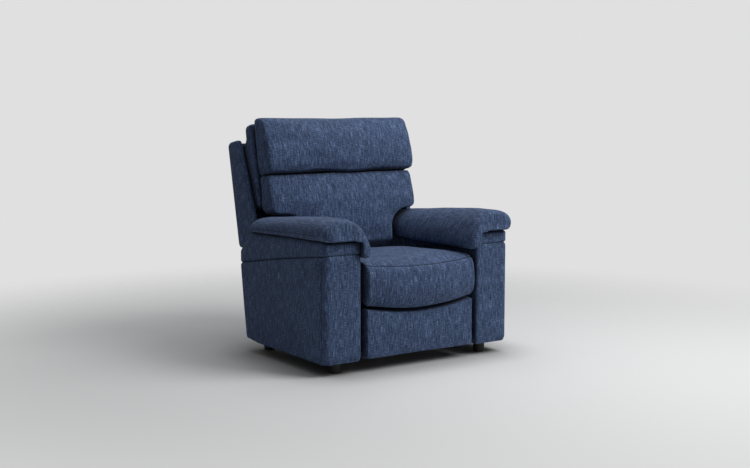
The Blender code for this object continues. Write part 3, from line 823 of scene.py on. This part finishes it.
# ----------------------------------------------------------------------------- arms ----
@dataclass
class Arm:
    """One arm: covered box, firm band and the pad that rolls over on the seat side."""

    side: Side
    shop: Workshop
    outer: float = 0.490
    inner: float = 0.308
    base: float = 0.052
    top: Tuple[Tuple[float, ...], Tuple[float, ...]] = ((0.0, 0.364, 0.741),
                                                        (0.504, 0.457, 0.400))
    rear: Tuple[Tuple[float, ...], Tuple[float, ...]] = ((0.052, 0.064, 0.23, 0.40),
                                                         (0.686, 0.690, 0.717, 0.741))
    band_top: Tuple[Tuple[float, ...], Tuple[float, ...]] = (
        (0.0, 0.276, 0.646, 0.743), (0.558, 0.555, 0.541, 0.459))
    pad_crown: Tuple[Tuple[float, ...], Tuple[float, ...]] = (
        (-0.03, 0.02, 0.12, 0.31, 0.55, 0.74), (0.650, 0.657, 0.655, 0.641, 0.622, 0.606))
    pad_floor: Tuple[Tuple[float, ...], Tuple[float, ...]] = (
        (-0.03, 0.276, 0.646, 0.74), (0.5620, 0.5590, 0.5480, 0.5460))
    reach: Tuple[Tuple[float, ...], Tuple[float, ...]] = (
        (-0.030, -0.018, 0.02, 0.12, 0.31, 0.50, 0.635, 0.652, 0.664, 0.690, 0.724),
        (0.497, 0.503, 0.506, 0.506, 0.504, 0.502, 0.496, 0.440, 0.412, 0.409, 0.402))

    def top_at(self, y: Array) -> Array:
        """Height of the covered box's sloping top at a depth."""
        return np.interp(y, *self.top)

    def box(self) -> bpy.types.Object:
        """The covered box: a rounded plan swept up to a sloping top, raked behind.

        Returns:
            The cover, before its seam.
        """
        s, o, i = self.side.value, self.outer, self.inner + 0.0008
        plan = round_outline([(i, 0.0, 0.010), (o, 0.0, 0.034), (o, 0.741, 0.020),
                              (i, 0.741, 0.016)], 260)
        slab = Slab(plan, 0.0, 1.0, 0.0, 0.0, wall_rings=60, cap_rings=12)

        def mapper(a: Array, b: Array, h: Array) -> Tuple[Array, Array, Array]:
            """Height is base plus h of the way to the sloping top, edges drawn in.

            Args:
                a: across, on the left arm.
                b: depth behind the front plane.
                h: share of the height.
            Returns:
                Row-frame x, y and z.
            """
            foot = smoothstep(0.60, 0.74, b) * 0.010 * (1 - h)
            z = self.base + foot + h * (self.top_at(b) - self.base - foot)
            y = b * np.interp(z, *self.rear) / 0.741
            edge = 0.020 * np.clip(1 - (z - self.base) / 0.026, 0, 1) ** 2
            roll = 0.016 * np.clip(1 - (self.top_at(b) - z) / 0.014, 0, 1) ** 2
            pull = (edge + roll) / 0.35
            x = a + (0.399 - a) * pull * 0.9
            y = y + (0.36 - y) * pull * 0.35 * (b < 0.2) + (0.36 - y) * pull * 0.2 * (b > 0.5)
            soft = 0.0005 * np.sin(math.pi * np.clip(h, 0, 1)) * np.sin(
                math.pi * np.clip(b / 0.741, 0, 1))
            x = x + np.sign(x - 0.399) * soft * (np.abs(x - 0.399) > 0.085)
            return s * x, FRONT + y, z

        return slab.build(f"arm_cover_{self.side.tag}", mapper)

    def dress_box(self) -> None:
        """Cover the box, with a seam down its outer front corner."""
        tag, s = self.side.tag, self.side.value
        made = self.box()
        nodes = [f"arm_{n}_panel_{tag}" for n in ("outer", "inner", "front", "rear")]
        start = np.c_[np.full(90, s * (self.outer + 0.05)), np.full(90, FRONT + 0.030),
                      np.linspace(0.062, 0.498, 90)]
        self.shop.seam(f"arm_corner_seam_{tag}", made, start, (-s, 0, 0), "base", 0.0055,
                       0.0095, 0.0010)
        self.shop.finish(made, self.shop.linen, "base", nodes, FABRIC_SLOT)

    def dress_band(self) -> None:
        """The band: a firm wedge of foam with soft long edges and a chamfered tail."""
        tag, s = self.side.tag, self.side.value
        plan = round_outline([(self.inner + 0.001, 0.001, 0.008), (0.4870, 0.001, 0.026),
                              (0.4870, 0.743, 0.018), (self.inner + 0.001, 0.743, 0.012)],
                             260)
        slab = Slab(plan, 0.0, 1.0, 0.0, 0.0, wall_rings=22, cap_rings=12)

        def mapper(a: Array, b: Array, h: Array) -> Tuple[Array, Array, Array]:
            """Between the box's top and the band's top line, long edges rolled in.

            Args:
                a: across, on the left arm.
                b: depth behind the front plane.
                h: share of the height.
            Returns:
                Row-frame x, y and z.
            """
            low, high = self.top_at(b) - 0.004, np.interp(b, *self.band_top) + 0.003
            z = low + h * (high - low)
            thick = np.maximum(high - low, 0.02)
            edge = np.clip(1 - np.minimum(z - low, high - z) / (0.22 * thick), 0, 1) ** 2
            x = a + np.sign(0.397 - a) * 0.0125 * edge * (np.abs(a - 0.397) > 0.05)
            y = b + 0.0125 * edge * (b < 0.05) - 0.0085 * edge * (b > 0.70)
            return s * x, FRONT + y, z

        made = slab.build(f"arm_band_cover_{tag}", mapper)
        self.shop.finish(made, self.shop.linen, "base", [f"arm_band_{tag}"], FABRIC_SLOT)

    def pad_ring(self, y: float, reach: float) -> Array:
        """One cross-section of the pad: outer lip, crowned top and drop to the seat.

        Args:
            y: depth behind the front plane.
            reach: how far out the lip stands.
        Returns:
            Rows of across and height.
        """
        floor, top = np.interp(y, *self.pad_floor), np.interp(y, *self.pad_crown)
        t, fall = top - floor, 0.481 + 0.009 * smoothstep(0.42, 0.52, np.float64(y))
        corners = [(0.3062, floor, 0.001), (reach - 0.026, floor, 0.008),
                   (reach - 0.007, floor + 0.14 * t, 0.012),
                   (reach + 0.001, floor + 0.40 * t, 0.014),
                   (reach - 0.014, floor + 0.72 * t, 0.02),
                   (reach - 0.048, floor + 0.94 * t, 0.028),
                   (0.5 * (reach - 0.06 + 0.37), top + 0.001, 0.03), (0.370, top - 0.001, 0.03),
                   (0.333, floor + 0.76 * t, 0.03), (0.303, floor + 0.47 * t, 0.03),
                   (0.279, floor + 0.03 * t, 0.03), (0.265, 0.530, 0.02),
                   (0.2595, 0.500, 0.010), (0.270, fall - 0.001, 0.010),
                   (0.297, fall - 0.001, 0.008), (0.3062, 0.500, 0.008)]
        ring = round_outline(corners, 150)
        ahead = np.clip((0.004 - y) / 0.034, 0.0, 1.0)
        behind = np.clip((y - 0.694) / 0.030, 0.0, 1.0)
        shrink = 1 - 0.17 * (1 - math.sqrt(1 - ahead ** 2)) \
            - 0.16 * (1 - math.sqrt(1 - behind ** 2))
        middle = np.array([0.5 * (0.262 + reach), floor + 0.30 * t])
        return middle + (ring - middle) * shrink

    def dress_pad(self) -> None:
        """The pad: crowned top, lip over the band, roll down to the seat."""
        tag, s = self.side.tag, self.side.value
        depths = np.r_[np.linspace(-0.030, 0.004, 9), np.linspace(0.012, 0.62, 60),
                       np.linspace(0.630, 0.690, 18), np.linspace(0.696, 0.724, 8)]
        rings = []
        for y in depths:
            ring = self.pad_ring(y, float(np.interp(y, *self.reach)))
            rings.append(np.c_[s * ring[:, 0], np.full(len(ring), FRONT + y), ring[:, 1]])
        made = loft(f"arm_pad_cover_{tag}", rings)

        def share(p: Array) -> Array:
            """Swell the top and sides, not the faces resting on the band and box.

            Args:
                p: rows of x, y, z.
            Returns:
                A share from 0 to 1 for each point.
            """
            x, z = np.abs(p[:, 0]), p[:, 2]
            return np.clip(smoothstep(0.562, 0.590, z) + smoothstep(0.304, 0.294, x), 0, 1) \
                * smoothstep(FRONT + 0.72, FRONT + 0.63, p[:, 1])

        swell(made, share, 0.0080, 0.0030)
        ripple(made, 0.0014, (0.19, 0.16, 0.23), 1.3 + s)
        outer = np.linspace(0.05, 0.60, 90)
        tuck = np.c_[np.full(90, s * 0.60), FRONT + outer, np.interp(
            outer, *self.pad_floor) + 0.26 * (np.interp(outer, *self.pad_crown)
                                              - np.interp(outer, *self.pad_floor))]
        self.shop.seam(f"arm_pad_side_seam_{tag}", made, tuck, (-s, 0, 0), "base", 0.0022,
                       0.0050, 0.0008)
        self.shop.finish(made, self.shop.linen, "base", [f"arm_pad_{tag}"], FABRIC_SLOT,
                         0.75)

    def build(self) -> None:
        """Make the whole arm."""
        self.dress_box()
        self.dress_band()
        self.dress_pad()


# ----------------------------------------------------------------------------- seat ----
@dataclass
class Seat:
    """The seat cushion: crowned top, sewn front edge and an apron bowed forward."""

    shop: Workshop
    half: float = 0.284
    bow: float = 0.030
    smile: float = 0.026
    fillet: float = 0.016

    def ring(self, x: float) -> Array:
        """The outline at distance x from the middle, drawn in towards the two sides.

        With s = (x / half) squared, the front bows out by bow (1 - s) and its hem rises
        by smile s; the last fillet of width is pulled in along a quarter circle.

        Args:
            x: distance from the middle.
        Returns:
            Rows of depth and height.
        """
        s = min(1.0, (x / self.half) ** 2)
        bow, low, rim = self.bow * (1 - s), 0.254 + self.smile * s, 0.006 * (1 - s)
        ring = round_outline([
            (0.0325, 0.3722, 0.004), (0.546, 0.3722, 0.010), (0.549, 0.436, 0.020),
            (0.530, 0.450, 0.020), (0.400, 0.458 + rim, 0.050), (0.220, 0.466 + rim, 0.060),
            (0.080, 0.470 + rim, 0.040), (0.025 - 0.5 * bow, 0.466, 0.020),
            (-0.004 - bow, 0.452 - 1.5 * rim, 0.018), (-0.019 - bow, 0.420, 0.020),
            (-0.026 - bow, 0.375, 0.025), (-0.025 - bow, 0.325, 0.025),
            (-0.014 - 0.8 * bow, low + 0.020, 0.020), (-0.5 * bow, low, 0.014),
            (0.020, low + 0.003, 0.010), (0.031, low + 0.016, 0.008)], 240)
        turn = np.clip((abs(x) - (self.half - self.fillet)) / self.fillet, 0.0, 1.0)
        pull = self.fillet * (1 - math.sqrt(1 - turn ** 2))
        middle = np.array([0.26, 0.405])
        return middle + (ring - middle) * (1 - pull / np.array([0.29, 0.16]))

    def build(self) -> None:
        """Loft, swell and sew the cushion."""
        turn = np.linspace(0.0, math.pi / 2, 9)[1:-1]
        side = self.half - self.fillet + self.fillet * np.sin(turn)
        stops = np.r_[-side[::-1], np.linspace(self.fillet - self.half,
                                               self.half - self.fillet, 60), side]
        rings = []
        for x in stops:
            ring = self.ring(float(x))
            rings.append(np.c_[np.full(len(ring), x), FRONT + ring[:, 0], ring[:, 1]])
        made = loft("seat_cushion_cover", rings)

        def share(p: Array) -> Array:
            """Swell the top and front only; underside and back stay where they rest.

            Args:
                p: rows of x, y, z.
            Returns:
                A share from 0 to 1 for each point.
            """
            y, z, x = p[:, 1] - FRONT, p[:, 2], np.abs(p[:, 0])
            front = smoothstep(0.014, -0.006, y) * smoothstep(0.256, 0.290, z)
            top = smoothstep(0.425, 0.450, z) * smoothstep(0.54, 0.48, y)
            return np.clip(front + top, 0.0, 1.0) * smoothstep(0.2835, 0.262, x)

        swell(made, share, 0.014, 0.0065)
        ripple(made, 0.0016, (0.23, 0.19, 0.21), 0.4)
        xs = np.linspace(-0.279, 0.279, 150)
        drop = 0.4520 - 0.0130 * (1 - (xs / self.half) ** 2)
        start = np.c_[xs, np.full(150, FRONT - 0.20), drop]
        self.shop.seam("seat_front_seam", made, start, (0, 1, 0), "base", 0.0036, 0.0055)
        self.shop.finish(made, self.shop.linen, "base", ["seat_cushion"], FABRIC_SLOT, 0.8)


# ----------------------------------------------------------------------------- back ----
@dataclass
class BackCushions:
    """Headrest pillow over a lumbar cushion that flares above the arm pads."""

    shop: Workshop
    lumbar_rows: Tuple[Tuple[float, ...], ...] = (   # height, half, front, crown
        (0.092, 0.229, -0.020, 0.000), (0.106, 0.232, -0.046, 0.000),
        (0.122, 0.240, -0.070, 0.000), (0.134, 0.248, -0.088, 0.004),
        (0.206, 0.250, -0.096, 0.014), (0.231, 0.261, -0.096, 0.018),
        (0.256, 0.281, -0.095, 0.020), (0.276, 0.311, -0.094, 0.022),
        (0.291, 0.349, -0.091, 0.026), (0.303, 0.388, -0.086, 0.030),
        (0.317, 0.408, -0.084, 0.032), (0.345, 0.410, -0.084, 0.032),
        (0.400, 0.407, -0.083, 0.028), (0.455, 0.403, -0.080, 0.019),
        (0.477, 0.399, -0.068, 0.014))
    headrest_rows: Tuple[Tuple[float, ...], ...] = (
        (0.4765, 0.397, -0.072, 0.006), (0.484, 0.406, -0.096, 0.012),
        (0.510, 0.409, -0.107, 0.014), (0.580, 0.408, -0.108, 0.014),
        (0.660, 0.407, -0.098, 0.012), (0.712, 0.407, -0.084, 0.009),
        (0.730, 0.404, -0.071, 0.006), (0.740, 0.398, -0.058, 0.004),
        (0.744, 0.388, -0.046, 0.000))

    @staticmethod
    def pillow(name: str, rows: Sequence[Sequence[float]], corner: float, sag: float,
               dip: float, droop: float) -> bpy.types.Object:
        """A boxed cushion stacked up the back: rounded rectangles with a crowned face.

        The face moves ahead by crown (1 - (x / half) squared); the lower edge hangs by
        sag with a slow wave in it and the upper edge dips by dip, both mid-way across;
        the front of the two side flares hangs by droop towards the arm pads.

        Args:
            name: name of the piece.
            rows: height, half width, front depth and crown.
            corner: rounding of the front corners.
            sag: hang of the lower edge.
            dip: dip of the upper edge.
            droop: hang of the side flares.
        Returns:
            The new object.
        """
        lo, hi = rows[0][0], rows[-1][0]
        rings = []
        for u in np.r_[np.linspace(lo, lo + 0.03, 10), np.linspace(lo + 0.036, hi - 0.03, 44),
                       np.linspace(hi - 0.026, hi, 12)]:
            half, front, crown = (read(rows, k, u) for k in (1, 2, 3))
            ring = round_outline([(-half, -0.0008, 0.006), (-half, front, corner),
                                  (half, front, corner), (half, -0.0008, 0.006)], 220)
            x = ring[:, 0]
            v = ring[:, 1] - crown * (1 - (x / half) ** 2) * np.clip(
                ring[:, 1] / front, 0, 1)
            lift = np.clip((u - lo) / (hi - lo), 0, 1)
            middle = 1 - (x / 0.40) ** 2
            wave = 0.0028 * np.sin(2 * math.pi * x / 0.37 + 0.6)
            fall = (sag * middle + wave * (sag > 0)) * (1 - lift) ** 3 \
                * np.clip(ring[:, 1] / front, 0, 1) + dip * middle * lift ** 3
            flare = math.exp(-((u - 0.305) / 0.026) ** 2) * smoothstep(0.30, 0.37, np.abs(x))
            fall = fall + droop * flare * np.clip(ring[:, 1] / front, 0, 1)
            rings.append(np.stack(raked(x, v, np.full(len(x), u) - fall), axis=-1))
        return loft(name, rings)

    @staticmethod
    def ahead(limit: float) -> Callable[[Array], Array]:
        """Share of the swelling: all of it ahead of a depth, none behind it.

        Args:
            limit: depth where the share is a half.
        Returns:
            A function from points to shares.
        """
        def share(p: Array) -> Array:
            """Depth through the back is the point's offset along the raked axis."""
            v = (p[:, 1] - PIVOT[1]) * math.cos(RAKE) - (p[:, 2] - PIVOT[2]) * math.sin(RAKE)
            return smoothstep(limit + 0.014, limit - 0.014, v)
        return share

    def headrest(self) -> None:
        """A full pillow with boxed sides that hangs over the lumbar cushion."""
        made = self.pillow("headrest_cover", self.headrest_rows, 0.024, 0.009, 0.004, 0.0)
        swell(made, self.ahead(-0.030), 0.014, 0.0045)
        ripple(made, 0.0018, (0.26, 0.17, 0.3), 2.2)
        self.shop.finish(made, self.shop.linen, "back", ["headrest_cushion"], FABRIC_SLOT,
                         0.85)

    def lumbar(self) -> None:
        """Narrow between the arms, flaring over the pads to the headrest's width."""
        made = self.pillow("lumbar_cover", self.lumbar_rows, 0.028, 0.0, 0.0, 0.017)
        swell(made, self.ahead(-0.030), 0.014, 0.0045)
        ripple(made, 0.0018, (0.21, 0.24, 0.3), 0.9)
        self.shop.finish(made, self.shop.linen, "back", ["lumbar_cushion"], FABRIC_SLOT,
                         0.8)

    def build(self) -> None:
        """Make both cushions."""
        self.headrest()
        self.lumbar()


@dataclass
class BackShell:
    """Padded inner back, two wings and the covered rear panel."""

    shop: Workshop

    def core(self) -> None:
        """The inner back: a rounded padded board whose top stands above the shell."""
        profile = round_outline([(0.0165, 0.340, 0.01), (0.0165, 0.731, 0.018),
                                 (0.078, 0.730, 0.026), (0.082, 0.655, 0.02),
                                 (0.1640, 0.638, 0.02), (0.1640, 0.340, 0.01)], 200)
        slab = Slab(profile, -0.4125, 0.4125, 0.016, 0.016, 0.0, 0.0, centre=(0.06, 0.56),
                    wall_rings=60)

        def mapper(a: Array, b: Array, h: Array) -> Tuple[Array, Array, Array]:
            """Across is h; the top corners are drawn down by the sixth power of it.

            Args:
                a: depth through the back.
                b: height up the back.
                h: across.
            Returns:
                Row-frame x, y and z.
            """
            top = smoothstep(0.60, 0.72, b)
            return raked(h, a, b - 0.007 * (h / 0.4125) ** 6 * top)

        made = slab.build("inner_back_cover", mapper)
        self.shop.finish(made, self.shop.linen, "back", ["back_core"], FABRIC_SLOT)

    def wing(self, side: Side) -> None:
        """A padded wing with soft edges, its lower edge cut to the arm's slope.

        Args:
            side: which wing.
        """
        shape = round_outline([
            (0.131, 0.1600, 0.012), (0.188, 0.1720, 0.016), (0.195, 0.190, 0.01),
            (0.195, 0.654, 0.014), (0.176, 0.668, 0.014), (0.098, 0.664, 0.014),
            (0.060, 0.480, 0.05), (0.030, 0.300, 0.04), (0.0225, 0.229, 0.02)], 220)
        s = side.value
        slab = Slab(shape, 0.4203, 0.4490, 0.010, 0.012, 0.0, 0.0025, cap_rings=16,
                    wall_rings=6)
        made = slab.build(f"back_wing_cover_{side.tag}",
                          lambda a, b, h: raked(s * h, a, b))
        self.shop.finish(made, self.shop.linen, "back", [f"back_wing_{side.tag}"],
                         FABRIC_SLOT)

    def rear(self) -> None:
        """The rear panel: a taut cover with a shallow swell and rolled edges."""
        shape = round_outline([(-0.4192, 0.101, 0.014), (0.4192, 0.101, 0.014),
                               (0.4192, 0.661, 0.016), (-0.4192, 0.661, 0.016)], 240)
        slab = Slab(shape, 0.1655, 0.1880, 0.004, 0.010, 0.0, 0.004, cap_rings=30,
                    wall_rings=4)
        made = slab.build("back_rear_cover", lambda a, b, h: raked(a, h, b))
        rows = np.linspace(0.115, 0.648, 90)
        for number, x in enumerate((-0.392, 0.392), start=1):
            lined = np.stack(raked(np.full(90, x), np.full(90, 0.30), rows), axis=-1)
            self.shop.seam(f"rear_panel_seam_{number}", made, lined,
                           (0, -math.cos(RAKE), math.sin(RAKE)), "back", 0.0016, 0.004,
                           0.0009)
        self.shop.finish(made, self.shop.linen, "back", ["back_rear_panel"], FABRIC_SLOT)

    def build(self) -> None:
        """Make the shell."""
        self.core()
        for side in Side:
            self.wing(side)
        self.rear()


# ------------------------------------------------------------------------- footrest ----
@dataclass
class FootPanel:
    """The folding footrest's padded face, its upper edge cut to the seat's hem."""

    shop: Workshop
    half: float = 0.284

    def build(self) -> None:
        """A thick padded slab with rolled edges."""
        outline = round_outline([(-0.2845, 0.053, 0.010), (0.2845, 0.053, 0.010),
                                 (0.2845, 0.2445, 0.006), (-0.2845, 0.2445, 0.006)], 240)
        slab = Slab(outline, -0.007, 0.0442, 0.007, 0.002, 0.002, 0.0, cap_rings=24,
                    wall_rings=8)

        def mapper(a: Array, b: Array, h: Array) -> Tuple[Array, Array, Array]:
            """Up stretches so the top follows the hem, which rises with x squared.

            Args:
                a: across.
                b: height.
                h: depth behind the front plane.
            Returns:
                Row-frame x, y and z.
            """
            s = np.clip((a / self.half) ** 2, 0, 1)
            rise = 0.025 * s * (b - 0.053) / 0.192
            return a, FRONT + h, b + rise

        made = slab.build("footrest_cover", mapper)

        def share(p: Array) -> Array:
            """Swell the face and not the side against the board."""
            return smoothstep(0.030, 0.010, p[:, 1] - FRONT)

        swell(made, share, 0.006, 0.0020, 0.007)
        ripple(made, 0.0010, (0.27, 0.15, 0.2), 3.0)
        self.shop.finish(made, self.shop.linen, "footrest", ["footrest_pad"], FABRIC_SLOT,
                         0.85)


@dataclass
class LinedBoards:
    """Boards wrapped in lining or cloth: footrest back, front rail and rear skirt."""

    shop: Workshop

    def wrap(self, node: str, material: bpy.types.Material, body: str,
             rounding: float) -> None:
        """Wrap a flat board: its own outline with rolled edges and a slight pillow.

        Args:
            node: the board.
            material: its cloth.
            body: body that carries it.
            rounding: radius of its corners.
        """
        lo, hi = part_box(node)
        outline = round_outline([(lo.x, lo.z, rounding), (hi.x, lo.z, rounding),
                                 (hi.x, hi.z, rounding), (lo.x, hi.z, rounding)], 160)
        slab = Slab(outline, lo.y, hi.y, 0.003, 0.003, 0.0, 0.0, cap_rings=12,
                    wall_rings=4)
        made = slab.build(f"{node}_wrap", lambda a, b, h: (a, h, b))
        self.shop.finish(made, material, body, [node], slot_of(node))

    def build(self) -> None:
        """Wrap the boards that show round the footrest and from behind."""
        self.wrap("footrest_board", self.shop.lining, "footrest", 0.010)
        self.wrap("seat_front_rail", self.shop.lining, "base", 0.004)
        self.wrap("rear_skirt", self.shop.linen, "base", 0.012)


def slot_of(node: str) -> str:
    """The material slot that the record gives a node.

    Args:
        node: name of the solid.
    Returns:
        The name of the slot.
    """
    return next(row["material_slot"] for row in frame["record"]["subparts"]
                if row["node"] == node)


# ------------------------------------------------------------------- frame and feet ----
@dataclass
class Undercarriage:
    """Everything that keeps its solid: steel, timber, wire and moulded parts."""

    shop: Workshop

    def dress(self) -> None:
        """Give each kept solid the finish of what it is made of."""
        by_slot = {"black_steel": self.shop.steel, "zinc_rod": self.shop.zinc,
                   "birch_ply": self.shop.ply, "black_plastic": self.shop.abs,
                   "foot_black": self.shop.foot, "spring_wire": self.shop.wire}
        slots = {row["node"]: row["material_slot"] for row in frame["record"]["subparts"]}
        for name, node in frame["nodes"].items():
            material = by_slot.get(slots[name])
            if material and not node.hide_render:
                node.data.materials.clear()
                node.data.materials.append(material)

    def feet(self) -> None:
        """Turned feet: a tapered barrel with a rolled foot ring and a soft top edge."""
        for side in Side:
            for end in ("front", "rear"):
                name = f"foot_{end}_{side.tag}"
                lo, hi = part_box(name)
                cx, cy = (lo.x + hi.x) / 2, (lo.y + hi.y) / 2
                angle = np.linspace(0, 2 * math.pi, 48, endpoint=False)
                ring = np.c_[np.cos(angle), np.sin(angle)]
                radius = (hi.x - lo.x) / 2
                slab = Slab(ring * radius, lo.z, hi.z - 0.0003, 0.003, 0.002,
                            cap_rings=6, wall_rings=14)

                def mapper(a: Array, b: Array, h: Array, cx: float = cx, cy: float = cy,
                           top: float = hi.z) -> Tuple[Array, Array, Array]:
                    """Radius narrows to 0.93 at the floor with a waist above the ring.

                    Args:
                        a: across from the foot's centre.
                        b: depth from the foot's centre.
                        h: height.
                        cx: centre of the foot across.
                        cy: centre of the foot in depth.
                        top: height of its upper face.
                    Returns:
                        Row-frame x, y and z.
                    """
                    waist = 1.0 - 0.07 * (1 - h / top) - 0.03 * np.exp(
                        -((h - 0.010) / 0.003) ** 2)
                    return cx + a * waist, cy + b * waist, h

                made = slab.build(name + "_turned", mapper)
                self.shop.finish(made, self.shop.foot, "base", [name], "foot_black")

    def build(self) -> None:
        """Feet first, then the kept solids."""
        self.feet()
        self.dress()


# ----------------------------------------------------------------------------- studio ----
@dataclass(frozen=True)
class Studio:
    """Pale floor, soft lights and the camera."""

    lens_mm: float = 55.2
    eye: Tuple[float, float, float] = (-2.920, -3.947, 1.103)
    look: Tuple[float, float, float] = (0.5585, 0.8224, -0.1081)
    backdrop: str = "#e0e0e0"
    floor: str = "#cbcbcb"
    ambient: float = 0.28
    key: float = 148.0
    top: float = 62.0
    painted_contact_shadow_m: float = 0.20      # painted contact shadow: the floor is darker within this distance of the chair

    def build(self) -> None:
        """Set the camera, the floor, the backdrop and two soft lights."""
        scene = bpy.context.scene
        scene.view_settings.view_transform = "Standard"
        scene.view_settings.look = "None"
        camera = bpy.data.cameras.new("camera")
        camera.lens, camera.sensor_width = self.lens_mm, 36.0
        eye = bpy.data.objects.new("camera", camera)
        scene.collection.objects.link(eye)
        eye.location = (self.eye[0], self.eye[1] + FRONT, self.eye[2])
        eye.rotation_euler = Vector(self.look).to_track_quat("-Z", "Y").to_euler()
        scene.camera = eye
        self.ground()
        world = bpy.data.worlds.new("studio")
        scene.world = world
        world.use_nodes = True
        tree = world.node_tree
        seen = tree.nodes["Background"]
        seen.inputs["Color"].default_value = linear(self.backdrop)
        around = add_node(tree, "ShaderNodeBackground", {}, {
            "Color": linear("#f4f6fa"), "Strength": self.ambient})
        ray = add_node(tree, "ShaderNodeLightPath")
        both = add_node(tree, "ShaderNodeMixShader", {}, {}, {
            0: ray.outputs["Is Camera Ray"], 1: around.outputs[0], 2: seen.outputs[0]})
        tree.links.new(both.outputs[0], tree.nodes["World Output"].inputs["Surface"])
        self.light("key", (1.9, -2.5, 3.1), (0.0, -0.05, 0.5), 2.4, self.key)
        self.light("top", (0.5, 0.3, 4.0), (0.0, 0.0, 0.3), 3.0, self.top)

    def light(self, name: str, at: Tuple[float, float, float],
              aim: Tuple[float, float, float], size: float, watts: float) -> None:
        """One soft square light aimed at a point.

        Args:
            name: name of the light.
            at: its place.
            aim: the point that it faces.
            size: side of the square.
            watts: its power.
        """
        lamp = bpy.data.lights.new(name, "AREA")
        lamp.energy, lamp.size = watts, size
        made = bpy.data.objects.new(name, lamp)
        bpy.context.scene.collection.objects.link(made)
        made.location = at
        made.rotation_euler = (Vector(aim) - Vector(at)).to_track_quat("-Z", "Y").to_euler()

    def ground(self) -> None:
        """A wide pale floor with painted contact shadow near the chair, fading into the backdrop."""
        s = 40.0
        verts = np.array([[-s, -s, -0.0004], [s, -s, -0.0004], [s, s, -0.0004],
                          [-s, s, -0.0004]])
        mesh = bpy.data.meshes.new("floor")
        mesh.from_pydata(verts.tolist(), [], [[0, 1, 2, 3]])
        made = bpy.data.objects.new("floor", mesh)
        bpy.context.scene.collection.objects.link(made)
        material, tree, shader = start_material("studio_floor")
        shader.inputs["Roughness"].default_value = 0.75
        shader.inputs["Specular IOR Level"].default_value = 0.2
        place = add_node(tree, "ShaderNodeTexCoord").outputs["Object"]
        reach = add_node(tree, "ShaderNodeVectorMath", {"operation": "LENGTH"}, {},
                         {0: place})
        fade = add_node(tree, "ShaderNodeMapRange", {"interpolation_type": "SMOOTHSTEP"}, {
            "From Min": 0.9, "From Max": 3.2, "To Min": 1.0, "To Max": 0.0},
            {"Value": reach.outputs["Value"]})
        tree.links.new(fade.outputs["Result"], shader.inputs["Alpha"])
        # painted contact shadow: ambient occlusion darkens the floor colour near the chair
        near = add_node(tree, "ShaderNodeAmbientOcclusion", {"samples": 8}, {
            "Distance": self.painted_contact_shadow_m})
        depth = add_node(tree, "ShaderNodeMapRange", {}, {
            "From Min": 0.0, "From Max": 1.0, "To Min": 0.10, "To Max": 1.0},
            {"Value": near.outputs["AO"]})
        shaded = add_node(tree, "ShaderNodeVectorMath", {"operation": "SCALE"}, {
            0: linear(self.floor)[:3]}, {"Scale": depth.outputs["Result"]})
        tree.links.new(shaded.outputs["Vector"], shader.inputs["Base Color"])
        made.data.materials.append(material)


def main() -> None:
    """Build the sub-assemblies in order."""
    Studio().build()
    shop = Workshop()
    for side in Side:
        Arm(side, shop).build()
    Seat(shop).build()
    BackShell(shop).build()
    BackCushions(shop).build()
    FootPanel(shop).build()
    LinedBoards(shop).build()
    Undercarriage(shop).build()
    bpy.context.view_layer.update()


if __name__ == "__main__":
    main()
